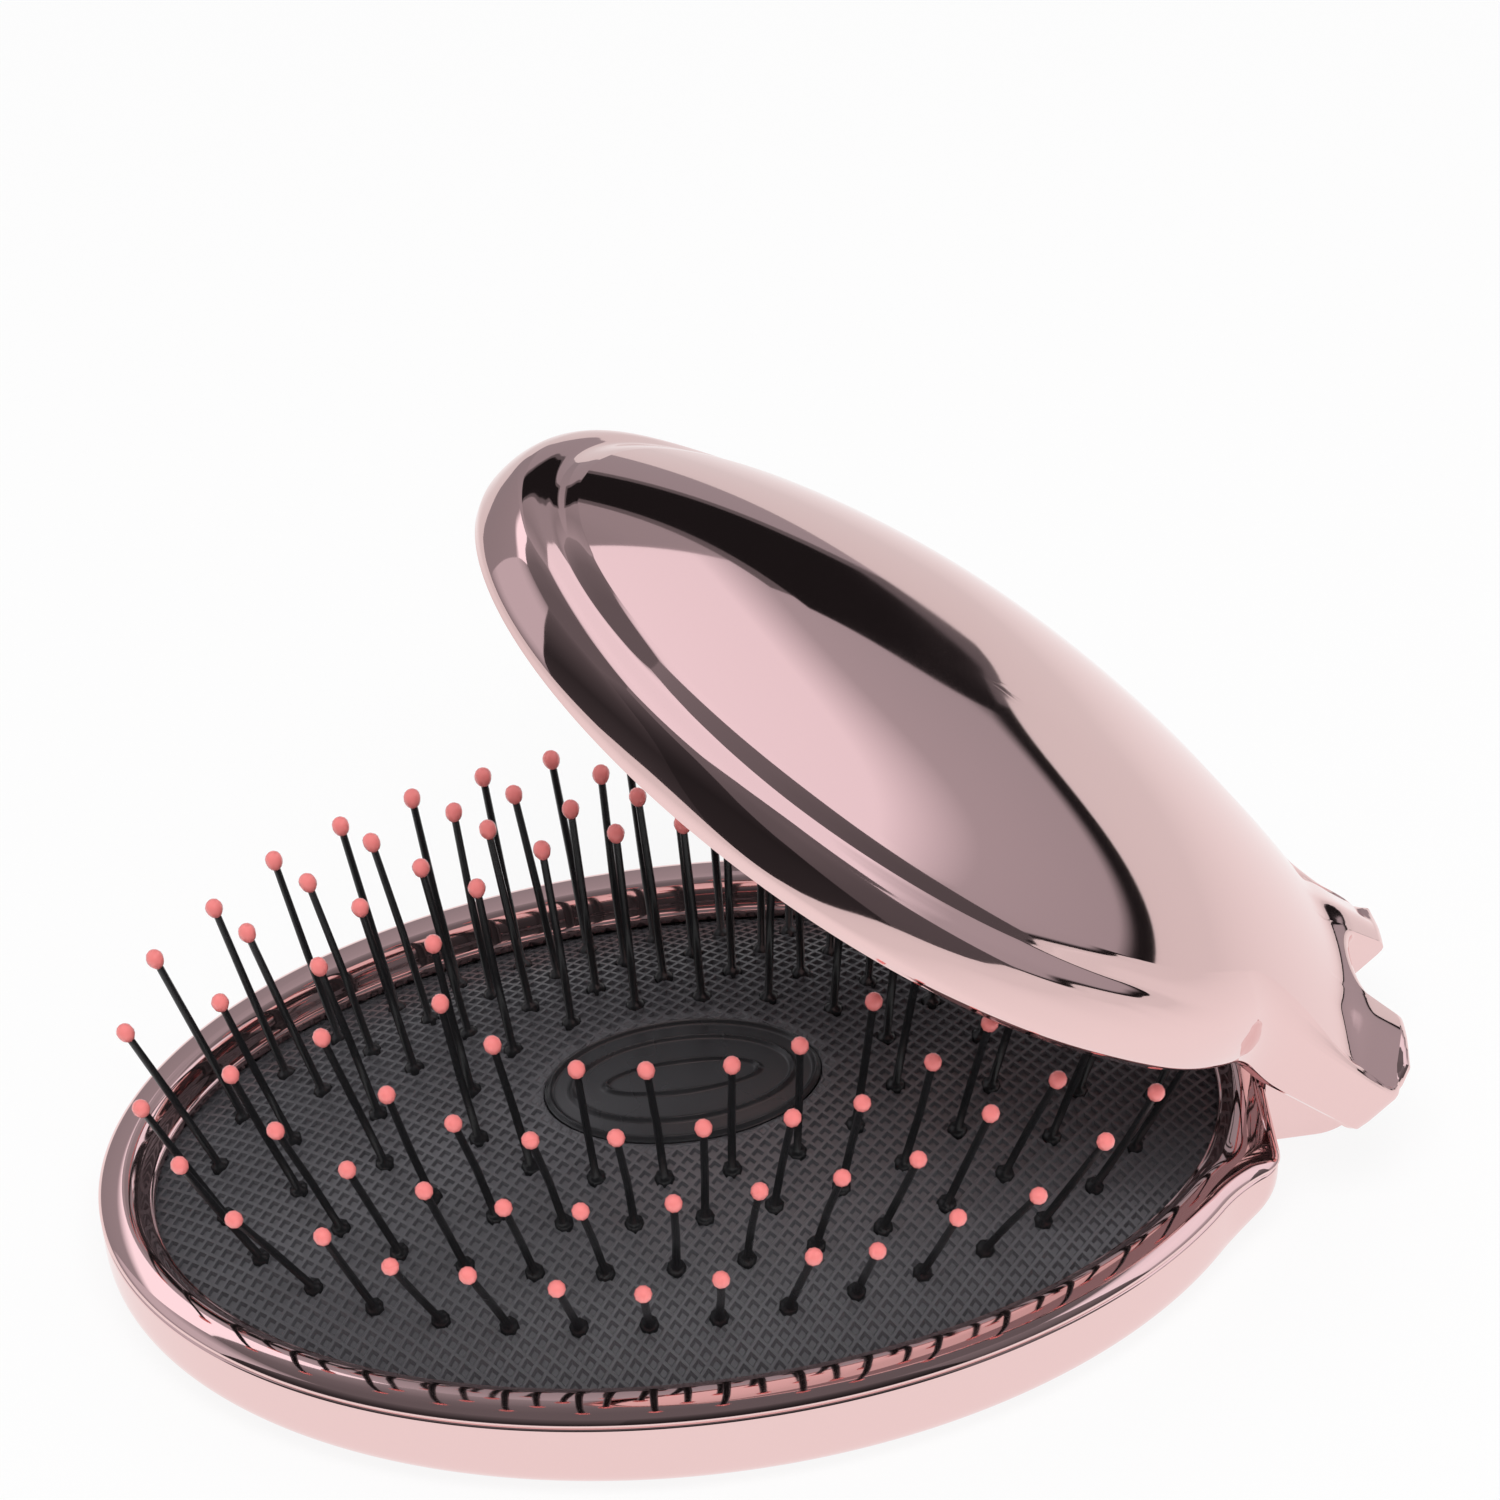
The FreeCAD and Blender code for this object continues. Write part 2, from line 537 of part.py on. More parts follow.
def make_back_button():
    """Thumb face of the plunger, dished on its underside and bored for its screw."""
    disc = cylinder("button_disc", s("@plunger_radius"), s("@button_height"), z=BUTTON_LOW)
    radius = size("plunger_radius") * 0.8
    dish = size("dish_depth")
    ball_radius = (radius ** 2 + dish ** 2) / (2 * dish)
    ball = DOC.addObject("Part::Sphere", "button_ball")
    ball.Radius = ball_radius
    low = size("button_recess") + size("pad_travel")
    ball.Placement = Placement(Vector(0, 0, low + dish - ball_radius), Rotation())
    sink = cylinder("button_sink", s("@plunger_screw_head + @slide_gap"), s("@button_height / 2"),
                    z=BUTTON_LOW)
    hole = cylinder("button_hole", s("@plunger_screw_radius + @slide_gap"), s("@button_height"), z=BUTTON_LOW)
    return cut("back_button", disc, fuse("button_cuts", ball, sink, hole))


def make_plunger_screw():
    """Screw that joins the back button to the plunger."""
    head = cylinder("plunger_screw_cap", s("@plunger_screw_head"), s("@button_height / 2 - @dish_depth"),
                    z=s(BUTTON_LOW + " + @dish_depth"))
    shank = cylinder("plunger_screw_shank", s("@plunger_screw_radius - @slide_gap"),
                     s("@button_height + @plunger_wall"), z=s(BUTTON_LOW + " + @button_height / 2"))
    return fuse("plunger_screw", head, shank)


def make_row(number):
    """Bristles of one row and their ball tips, square to the cushion's face."""
    points = row_points(OPENING_LENGTH - size(f"row_inset_end_{number}"),
                        OPENING_WIDTH - size(f"row_inset_side_{number}"), int(size(f"row_count_{number}")))
    pins = []
    tips = []
    gap = size("slide_gap")
    for plan in points:
        root = dome_point(plan.x, plan.y)
        normal = dome_normal(root)
        start = root + normal * size("soft_gap")
        pins.append(Part.makeCylinder(size("pin_radius"), size("pin_length"), start, normal))
        centre = start + normal * (size("pin_length") + size("tip_radius") + gap / 4)
        tips.append(Part.makeSphere(size("tip_radius"), centre))
    return (feature(f"bristles_row_{number}", Part.makeCompound(pins)),
            feature(f"tips_row_{number}", Part.makeCompound(tips)))


def handle_turn():
    """Turn of the handle from shut to its resting angle, about the hinge pin."""
    return Placement(Vector(), Rotation(Vector(0, 1, 0), size("rest_angle")), HINGE)


RIM_SHUT = s("(@head_depth + @shut_gap)")


def make_handle():
    """Hollow domed shell with two lugs, drawn shut and then turned about the hinge pin."""
    tip, root = size("handle_tip_inset"), size("handle_root_inset")
    plan = necked_oval(size("head_half_length") - (tip + root) / 2,
                       size("head_half_width") - size("handle_side_inset"), (tip - root) / 2,
                       size("neck_half_width"), size("neck_blend"), HINGE.x + size("lug_overhang"))
    rim_z = PARTING_Z + size("shut_gap")
    outline = feature("handle_plan", plan, Placement(Vector(0, 0, rim_z), Rotation()))
    block = raise_profile("handle_block", outline, s("@handle_crown + 1"))
    drop = s("(@handle_crown - @handle_side) / (1 - sqrt(1 - @dome_fullness ^ 2))")
    dome = ellipsoid("handle_dome", s(HANDLE_A + " / @dome_fullness"),
                     s(HANDLE_B + " / @dome_fullness"), drop, HANDLE_MIDDLE,
                     s(RIM_SHUT + " + @handle_crown - " + drop))
    lug_block = box("lug_block", s(LUG_END + " - @lug_length"), s("-@neck_half_width"),
                    s(RIM_SHUT + " - @lug_drop"), s("@lug_length"), s("2 * @neck_half_width"),
                    s("@lug_height + @lug_drop"))
    DOC.recompute()
    top = rim_z + size("lug_height")
    bevel = DOC.addObject("Part::Chamfer", "lug_bevels")
    bevel.Base = lug_block
    bevel.Edges = [(k, size("lug_bevel"), size("lug_bevel"))
                   for k, edge in enumerate(lug_block.Shape.Edges, 1)
                   if abs(edge.BoundBox.ZMin - top) < 1e-6 and edge.BoundBox.XLength > size("notch_depth")]
    solid = fuse("handle_solid", common("handle_shell_form", block, dome), bevel)
    well = oval_prism("handle_well", s(HANDLE_A + " - @handle_wall"), s(HANDLE_B + " - @handle_wall"),
                      s("@handle_crown"), s(RIM_SHUT + " - 1"), HANDLE_MIDDLE)
    vault = ellipsoid("handle_vault", s(HANDLE_A + " / @dome_fullness - @handle_wall"),
                      s(HANDLE_B + " / @dome_fullness - @handle_wall"), s(drop + " - @handle_wall"),
                      HANDLE_MIDDLE, s(RIM_SHUT + " + @handle_crown - " + drop))
    bowl = cut("handle_bowl", solid, common("handle_cavity", well, vault))
    ears = [cross_cylinder("ear_near", s("@knuckle_radius"), s("-" + PIN_REACH + " - @cap_height"),
                           s(PIN_REACH + " + @cap_height - @notch_half_width")),
            cross_cylinder("ear_far", s("@knuckle_radius"), s("@notch_half_width"),
                           s(PIN_REACH + " + @cap_height - @notch_half_width"))]
    notch = box("lug_notch", s(LUG_END + " - @notch_depth"), s("-@notch_half_width"),
                s(RIM_SHUT + " - @head_depth"), s("2 * @notch_depth"), s("2 * @notch_half_width"),
                s("3 * @head_depth"))
    bores = fuse("lug_bores",
                 cross_cylinder("lug_bore", s("@hinge_pin_radius + @hinge_pin_gap"),
                                s("-" + PIN_REACH + " - @hinge_pin_gap"), s("3 * " + PIN_REACH)),
                 cross_cylinder("cap_bore", s("@cap_radius + @slide_gap"),
                                s("@neck_half_width - @cap_height"), s("2 * @cap_height")))
    lugged = cut("handle_lugged", fuse("handle_eared", bowl, *ears), notch)
    shell = cut("handle_shell", lugged, bores)
    DOC.recompute()
    return feature("handle_shell_turned", shell.Shape, handle_turn())


def make_hinge():
    """Pin through lugs and knuckle, a friction washer on each side and the cap over the pin."""
    pin = cross_cylinder("hinge_pin", s("@hinge_pin_radius"), s("-" + PIN_REACH),
                         s("2 * " + PIN_REACH))
    thick = s("(@notch_half_width - @knuckle_half_width - 2 * @washer_gap)")
    washers = []
    for side, low in (("near", s("-@notch_half_width + @washer_gap")),
                      ("far", s("@knuckle_half_width + @washer_gap"))):
        disc = cross_cylinder(f"washer_disc_{side}", s("@knuckle_radius - @fit_gap"), low, thick)
        eye = cross_cylinder(f"washer_eye_{side}", s("@hinge_pin_radius + @hinge_pin_gap"), low, thick)
        washers.append(cut(f"friction_washer_{side}", disc, eye))
    cap = cross_cylinder("hinge_cap_shut", s("@cap_radius"),
                         s("@neck_half_width - @cap_height + @washer_gap"), s("@cap_height - @washer_gap"))
    DOC.recompute()
    turned = feature("hinge_cap", cap.Shape, handle_turn().multiply(cap.Placement))
    return pin, washers, turned


def check_and_write(parts):
    """Check every object and sub-part, then write each sub-part to its own file."""
    DOC.recompute()
    failed = [item.Name for item in DOC.Objects if "Invalid" in item.State or "Error" in item.State]
    if failed:
        raise RuntimeError("failed objects: " + ", ".join(failed))
    for label, item in parts.items():
        if item.Shape.isNull() or not item.Shape.isValid():
            raise RuntimeError("bad shape: " + label)
    os.makedirs("parts", exist_ok=True)
    for label, item in parts.items():
        item.Label = label
        item.Shape.exportStep(f"parts/{label}.step")
        print(label, "solids", len(item.Shape.Solids), "volume", round(item.Shape.Volume, 2))


def main():
    """Build every sub-part and write it."""
    parts = {
        "head_back_shell": make_back_shell(),
        "head_rim_frame": make_rim_frame(),
        "cushion": make_cushion(),
        "clamp_ring": make_clamp_ring(),
        "clamp_screws": make_clamp_screws(),
        "guide_bush": make_guide_bush(),
        "press_pad": make_press_pad(),
        "plunger": make_plunger(),
        "back_button": make_back_button(),
        "plunger_screw": make_plunger_screw(),
        "handle_shell": make_handle(),
    }
    for number in range(1, 5):
        parts[f"bristles_row_{number}"], parts[f"tips_row_{number}"] = make_row(number)
    parts["hinge_pin"], washers, parts["hinge_cap"] = make_hinge()
    parts["friction_washer_near"], parts["friction_washer_far"] = washers
    check_and_write(parts)


main()
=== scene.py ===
import logging
import math
from dataclasses import dataclass
from enum import Enum, IntEnum
from typing import Optional

import bmesh
import bpy
import numpy as np
from bpy.types import Material, Node, NodeTree, Object
from mathutils import Matrix, Vector


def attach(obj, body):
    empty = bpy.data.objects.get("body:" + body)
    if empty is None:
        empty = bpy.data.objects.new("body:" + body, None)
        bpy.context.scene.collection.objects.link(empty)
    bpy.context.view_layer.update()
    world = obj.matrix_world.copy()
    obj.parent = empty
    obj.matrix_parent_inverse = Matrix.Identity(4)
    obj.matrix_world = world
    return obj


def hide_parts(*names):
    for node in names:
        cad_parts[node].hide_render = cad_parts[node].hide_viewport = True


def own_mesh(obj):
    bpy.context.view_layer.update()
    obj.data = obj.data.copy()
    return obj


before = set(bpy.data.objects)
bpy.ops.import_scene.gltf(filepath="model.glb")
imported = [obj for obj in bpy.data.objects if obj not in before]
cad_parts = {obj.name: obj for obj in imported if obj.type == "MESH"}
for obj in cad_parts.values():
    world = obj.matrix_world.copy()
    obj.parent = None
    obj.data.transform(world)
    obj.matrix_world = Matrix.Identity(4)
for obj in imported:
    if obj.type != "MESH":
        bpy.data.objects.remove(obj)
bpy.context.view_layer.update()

logging.basicConfig(level=logging.INFO, format="%(message)s")
log = logging.getLogger("folding_travel_brush")

Array = np.ndarray
MILLIMETRE = 0.001
QUARTER = math.pi / 2
CIRCLE = (1.0, 1.0)
QUAD = np.array([[0, 1, 2, 3]])
PARTING = 9.0
HINGE = np.array([53.0, 0.0, 12.9])
REST_ANGLE = math.radians(43.4)
REST_COSINE = math.cos(REST_ANGLE)
REST_SINE = math.sin(REST_ANGLE)
SHUT_RIM = 14.45
COAT_ROUGHNESS = 0.08
GRAIN_HEIGHT = 0.0001
SET_RING = 900.0
SET_HEIGHT = 1500.0
FLOOR_REACH = 6000.0
FLOOR_LEVEL = -0.05


class Body(str, Enum):
    """Rigid bodies of the brush that pieces ride on."""

    HEAD = "head"
    HANDLE = "handle"
    POPPER = "popper"


class Edge(IntEnum):
    """Which stretch of an outline a point belongs to."""

    FLANK = 0
    END = 1
    NOTCH = 2


# Shader nodes


def set_inputs(node: Node, values: dict) -> None:
    """Set inputs of a node, by name or number."""
    for label, value in values.items():
        node.inputs[label].default_value = value


def add_node(tree: NodeTree, kind: str, values: Optional[dict] = None, **settings: object) -> Node:
    """Add a shader node to a tree.

    Args:
        tree: The tree.
        kind: Type of the node, without the prefix that all shader nodes share.
        values: Values of its inputs, by name or number.
        settings: Other properties of the node.

    Returns:
        The node.
    """
    made = tree.nodes.new("ShaderNode" + kind)
    for label, value in settings.items():
        setattr(made, label, value)
    set_inputs(made, values or {})
    return made


def join(tree: NodeTree, *routes: tuple) -> None:
    """Link nodes: each route is a node, its output, the next node and the input there."""
    for source, output, target, entry in routes:
        tree.links.new(source.outputs[output], target.inputs[entry])


def new_group(name: str, inputs: dict, output: str) -> NodeTree:
    """Make an empty shader group whose sockets are floats.

    Args:
        name: Name of the group.
        inputs: Default value of each input, by name.
        output: Name of the output.

    Returns:
        The group with its input and output nodes in place.
    """
    tree = bpy.data.node_groups.new(name, "ShaderNodeTree")
    for label, value in inputs.items():
        socket = tree.interface.new_socket(label, in_out="INPUT", socket_type="NodeSocketFloat")
        socket.default_value = value
    tree.interface.new_socket(output, in_out="OUTPUT", socket_type="NodeSocketFloat")
    tree.nodes.new("NodeGroupInput")
    tree.nodes.new("NodeGroupOutput")
    return tree


def handling_marks() -> NodeTree:
    """Faint smears of handling: cloudy noise between two roughness values.

    Returns:
        A group with inputs Scale, Clean and Smeared and the output Roughness.
    """
    tree = new_group("handling_marks", {"Scale": 60.0, "Clean": 0.05, "Smeared": 0.09}, "Roughness")
    given, result = tree.nodes["Group Input"], tree.nodes["Group Output"]
    place = add_node(tree, "TexCoord")
    cloud = add_node(tree, "TexNoise", {"Detail": 3.0})
    spread = add_node(tree, "MapRange", {"From Min": 0.42, "From Max": 0.72})
    join(tree, (place, "Object", cloud, "Vector"), (given, "Scale", cloud, "Scale"),
         (cloud, "Fac", spread, "Value"), (given, "Clean", spread, "To Min"),
         (given, "Smeared", spread, "To Max"), (spread, "Result", result, "Roughness"))
    return tree


def moulded_grain() -> NodeTree:
    """Fine grain of moulded surfaces: noise as a height.

    Returns:
        A group with the input Scale and the output Height.
    """
    tree = new_group("moulded_grain", {"Scale": 2500.0}, "Height")
    place = add_node(tree, "TexCoord")
    grain = add_node(tree, "TexNoise", {"Detail": 2.0})
    join(tree, (place, "Object", grain, "Vector"), (tree.nodes["Group Input"], "Scale", grain, "Scale"),
         (grain, "Fac", tree.nodes["Group Output"], "Height"))
    return tree


MARKS = handling_marks()
GRAIN = moulded_grain()


@dataclass(frozen=True)
class Finish:
    """A surface finish of the brush and the record's slot that it belongs to."""

    name: str
    slot: str
    colour: tuple
    clean: float
    smeared: float
    metallic: float = 0.0
    coat: float = 0.0
    specular: float = 0.5
    mark_scale: float = 60.0
    grain_scale: float = 0.0
    grain_depth: float = 0.0

    def material(self) -> Material:
        """Return the finish as a material, made at its first use."""
        known = bpy.data.materials.get(self.name)
        return known if known else self.build()

    def build(self) -> Material:
        """Make the material: a principled surface with smears in its roughness and moulded grain.

        Returns:
            The new material.
        """
        made = bpy.data.materials.new(self.name)
        made.use_nodes = True
        tree = made.node_tree
        surface = tree.nodes["Principled BSDF"]
        set_inputs(surface, {"Base Color": (*self.colour, 1.0), "Metallic": self.metallic,
                             "Coat Weight": self.coat, "Coat Roughness": COAT_ROUGHNESS,
                             "Specular IOR Level": self.specular})
        smears = {"Scale": self.mark_scale, "Clean": self.clean, "Smeared": self.smeared}
        marks = add_node(tree, "Group", smears, node_tree=MARKS)
        join(tree, (marks, "Roughness", surface, "Roughness"))
        if self.grain_depth > 0.0:
            grain = add_node(tree, "Group", {"Scale": self.grain_scale}, node_tree=GRAIN)
            bump = add_node(tree, "Bump", {"Strength": self.grain_depth, "Distance": GRAIN_HEIGHT})
            join(tree, (grain, "Height", bump, "Height"), (bump, "Normal", surface, "Normal"))
        return made


ROSE_PLATING = Finish("rose_plating", "plating", (0.84, 0.595, 0.585), 0.035, 0.065, metallic=1.0)
# The waffle rubber's base colour is lighter than the smooth pad's. It is partly the rubber's own dark grey
# and partly painted sheen, standing in for the waffle's sheen.
WAFFLE_RUBBER_PAINTED_SHEEN = Finish("waffle_rubber_painted_sheen", "rubber", (0.072, 0.070, 0.077), 0.32, 0.42, specular=0.7,
                       grain_scale=2500.0, grain_depth=0.25)
SMOOTH_RUBBER = Finish("smooth_rubber", "rubber", (0.020, 0.020, 0.022), 0.24, 0.34, specular=0.7)
BLACK_NYLON = Finish("black_nylon", "nylon", (0.010, 0.010, 0.011), 0.22, 0.30)
CORAL_DIP = Finish("coral_dip", "coral", (0.93, 0.25, 0.24), 0.22, 0.30, coat=0.3)
INNER_PLASTIC = Finish("inner_plastic", "inner_plastic", (0.05, 0.05, 0.055), 0.45, 0.55)
PIN_STEEL = Finish("pin_steel", "steel", (0.60, 0.60, 0.61), 0.25, 0.35, metallic=1.0)


# Surfaces from arrays


def smoothstep(low: float, high: float, value: Array) -> Array:
    """Return the cubic ramp from 0 at low to 1 at high."""
    share = np.clip((value - low) / (high - low), 0.0, 1.0)
    return share * share * (3.0 - 2.0 * share)


def unit(vectors: Array) -> Array:
    """Scale vectors to length 1."""
    return vectors / np.linalg.norm(vectors, axis=-1, keepdims=True)


def stacked(*parts: Array) -> Array:
    """Points from their coordinates, each repeated over the others' further rows."""
    return np.stack(np.broadcast_arrays(*parts), axis=-1)


def oval(half: tuple, turn: Array) -> Array:
    """Plan points of an oval, from its half axes and the parameters of the points."""
    return stacked(half[0] * np.cos(turn), half[1] * np.sin(turn))


def oval_turn(plan: Array, half: tuple) -> Array:
    """Parameters of plan points on ovals that have the proportions of the half axes."""
    return np.arctan2(plan[..., 1] / half[1], plan[..., 0] / half[0])


def oval_share(plan: Array, half: tuple) -> Array:
    """How far out plan points lie in an oval: 0 at its centre and 1 on it."""
    return np.hypot(plan[..., 0] / half[0], plan[..., 1] / half[1])


def lift(plan: Array, height: Array) -> Array:
    """Join plan positions and heights into points."""
    return stacked(plan[..., 0], plan[..., 1], height)


def smooth_path(knots: tuple, count: int) -> Array:
    """Curve through knots: on each span the cubic whose end slopes are half the neighbours' chord.

    Args:
        knots: Points of the curve, each of the same number of coordinates.
        count: Points on each span.

    Returns:
        Array of points, with the last knot at its end.
    """
    base = np.array(knots, float)
    padded = np.vstack([2 * base[0] - base[1], base, 2 * base[-1] - base[-2]])
    first, start, stop, last = padded[:-3], padded[1:-2], padded[2:-1], padded[3:]
    share = np.linspace(0.0, 1.0, count, endpoint=False)[None, :, None]
    slope_a, slope_b = (stop - first) / 2, (last - start) / 2
    cube, square = share ** 3, share ** 2
    spans = ((2 * cube - 3 * square + 1) * start[:, None] + (cube - 2 * square + share) * slope_a[:, None]
             + (3 * square - 2 * cube) * stop[:, None] + (cube - square) * slope_b[:, None])
    return np.vstack([spans.reshape(-1, base.shape[1]), base[-1:]])


def grid_faces(rows: int, columns: int, looped: bool) -> Array:
    """Quads of a grid of points whose rows are closed loops, by point number.

    Args:
        rows: Rows of the grid.
        columns: Points in each row.
        looped: Whether the last row joins the first.

    Returns:
        Array of four point numbers for each quad.
    """
    row, column = np.meshgrid(np.arange(rows if looped else rows - 1), np.arange(columns), indexing="ij")
    next_row, next_column = (row + 1) % rows, (column + 1) % columns
    return stacked(row * columns + column, row * columns + next_column,
                   next_row * columns + next_column, next_row * columns + column).reshape(-1, 4)


def fan_faces(base: int, around: int, pole: int) -> Array:
    """Triangles, by point number, between a ring that starts at a base number and a pole."""
    along = np.arange(around)
    return stacked(base + along, base + (along + 1) % around, pole)


def add_object(name: str, data: bpy.types.ID) -> Object:
    """Make an object and link it to the scene.

    Args:
        name: Name of the object.
        data: Its mesh, light or camera.

    Returns:
        The object.
    """
    made = bpy.data.objects.new(name, data)
    bpy.context.scene.collection.objects.link(made)
    return made


def mesh_from(name: str, points: Array, faces: list, sharp: float = 35.0,
              closed: bool = True) -> Object:
    """Make a mesh object from points in millimetres.

    Args:
        name: Name of the piece.
        points: Points, three coordinates each.
        faces: Arrays of faces, by point number.
        sharp: Angle in degrees above which an edge is shown sharp.
        closed: Whether the surface is closed, so that its faces are turned outwards.

    Returns:
        The object, linked to the scene.
    """
    mesh = bpy.data.meshes.new(name)
    lists = [face for block in faces for face in block.tolist()]
    mesh.from_pydata((points.reshape(-1, 3) * MILLIMETRE).tolist(), [], lists)
    if closed:
        work = bmesh.new()
        work.from_mesh(mesh)
        bmesh.ops.recalc_face_normals(work, faces=work.faces)
        work.to_mesh(mesh)
        work.free()
    mesh.shade_smooth()
    mesh.set_sharp_from_angle(angle=math.radians(sharp))
    mesh.update()
    return add_object(name, mesh)


def ring_surface(name: str, rings: Array, first: Optional[Array] = None,
                 last: Optional[Array] = None, looped: bool = False,
                 sharp: float = 35.0) -> Object:
    """Surface through closed rings of points, with a pole at either end or joined end to end.

    Args:
        name: Name of the piece.
        rings: Array of rings, points and coordinates.
        first: Pole that closes the first ring.
        last: Pole that closes the last ring.
        looped: Whether the last ring joins the first.
        sharp: Angle in degrees above which an edge is shown sharp.

    Returns:
        The object.
    """
    count, around = rings.shape[:2]
    points = [rings.reshape(-1, 3)]
    faces = [grid_faces(count, around, looped)]
    total = count * around
    for pole, base in ((first, 0), (last, (count - 1) * around)):
        if pole is not None:
            points.append(np.asarray(pole, float).reshape(1, 3))
            faces.append(fan_faces(base, around, total))
            total += 1
    return mesh_from(name, np.vstack(points), faces, sharp)


def turn_open(points: Array) -> Array:
    """Turn points of the shut handle about the hinge axis to the resting angle."""
    x, y, z = np.moveaxis(points - HINGE, -1, 0)
    return stacked(x * REST_COSINE + z * REST_SINE, y, z * REST_COSINE - x * REST_SINE) + HINGE


def dress(piece: Object, finish: Finish, body: str, *replaced: str) -> Object:
    """Give a piece its finish and body, and let it stand for CAD nodes.

    Args:
        piece: The piece.
        finish: Its finish.
        body: The body that it rides on.
        replaced: CAD nodes that it stands for.

    Returns:
        The piece.
    """
    piece.data.materials.clear()
    piece.data.materials.append(finish.material())
    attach(piece, body)
    if replaced:
        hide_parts(*replaced)
    log.info("piece %s on %s, %d faces", piece.name, body, len(piece.data.polygons))
    return piece


@dataclass
class NeckedOval:
    """Outline of an oval that runs through hollow curves into a neck cut square at its end."""

    axes: tuple
    centre: float
    neck: float
    blend: float
    end: float
    corner: float
    notch_x: float = 0.0
    notch_inner: float = 0.0
    notch_mouth: float = 0.0
    notch_round: float = 1.6

    def touch(self) -> tuple:
        """Find where the hollow arc touches the oval, by trying many oval parameters at once.

        The arc's centre lies one blend radius outside the oval along its normal and one blend radius
        outside the neck's side line.

        Returns:
            The oval parameter and the arc's centre.
        """
        angle = np.linspace(1e-4, QUARTER, 400001)
        middle = oval(self.axes, angle) + self.blend * unit(oval(self.axes[::-1], angle))
        best = int(np.argmin(np.abs(middle[:, 1] - self.neck - self.blend)))
        return angle[best], middle[best]

    def half(self) -> tuple:
        """Far half of the outline, from the oval's tip to the middle of the neck's end.

        The oval's arc, then the hollow arc, then the neck's side, a rounded corner as a quadratic curve,
        the end line and, where there is a notch, its flared side and rounded floor.

        Returns:
            Points relative to the oval's centre, and the Edge of each.
        """
        angle, middle = self.touch()
        end = self.end - self.centre
        arc = oval(self.axes, np.linspace(math.pi, angle, 190))
        start = math.atan2(arc[-1, 1] - middle[1], arc[-1, 0] - middle[0])
        reach = min(end, middle[0]) - middle[0]
        stop = -QUARTER if reach >= 0 else math.atan2(-math.sqrt(self.blend ** 2 - reach ** 2), reach)
        bend = np.linspace(start % math.tau, stop % math.tau, 40)[1:]
        hollow = middle + oval((self.blend, self.blend), bend)
        pieces = [arc, hollow]
        if end - hollow[-1, 0] > 1e-6:
            pieces.append(stacked(np.linspace(hollow[-1, 0], end, 14)[1:], hollow[-1, 1]))
        side = np.vstack(pieces)
        tip = side[-1]
        side = side[side[:, 0] < end - self.corner]
        share = np.linspace(0.0, 1.0, 12)[1:, None]
        near, far = side[-1], tip - np.array([0.0, self.corner])
        rounding = near * (1 - share) ** 2 + tip * 2 * share * (1 - share) + far * share ** 2
        drop = np.linspace(far[1], self.notch_mouth, 14)[1:]
        outline = [(side, Edge.FLANK), (rounding, Edge.FLANK), (stacked(end, drop), Edge.END)]
        if self.notch_x:
            heel = self.notch_x - self.centre + self.notch_round
            bite = np.linspace(0.0, 1.0, 16)[1:, None]
            top, foot = np.array([[end, self.notch_mouth]]), np.array([[heel, self.notch_inner]])
            swing = np.linspace(0.0, QUARTER, 12)[1:]
            floor = stacked(heel - self.notch_round * np.sin(swing), self.notch_inner * np.cos(swing))
            outline += [(top + bite * (foot - top), Edge.NOTCH), (floor, Edge.NOTCH)]
        codes = np.concatenate([np.full(len(block), edge.value) for block, edge in outline])
        return np.vstack([block for block, _ in outline]), codes

    def loop(self) -> tuple:
        """Whole outline as a closed loop.

        Returns:
            Points relative to the oval's centre, outward normals and the Edge of each.
        """
        half, codes = self.half()
        points = np.vstack([half[::-1], half[1:-1] * np.array([1.0, -1.0])])
        codes = np.concatenate([codes[::-1], codes[1:-1]])
        along = np.roll(points, -1, axis=0) - np.roll(points, 1, axis=0)
        return points, unit(stacked(along[:, 1], -along[:, 0])), codes


HEAD_OUTLINE = NeckedOval((48.0, 30.5), 0.0, 11.2, 12.0, 47.0, 1.6)
HANDLE_OUTLINE = NeckedOval((41.8, 24.8), 2.8, 11.2, 12.0, 54.6, 1.4, 49.8, 3.7, 4.3)


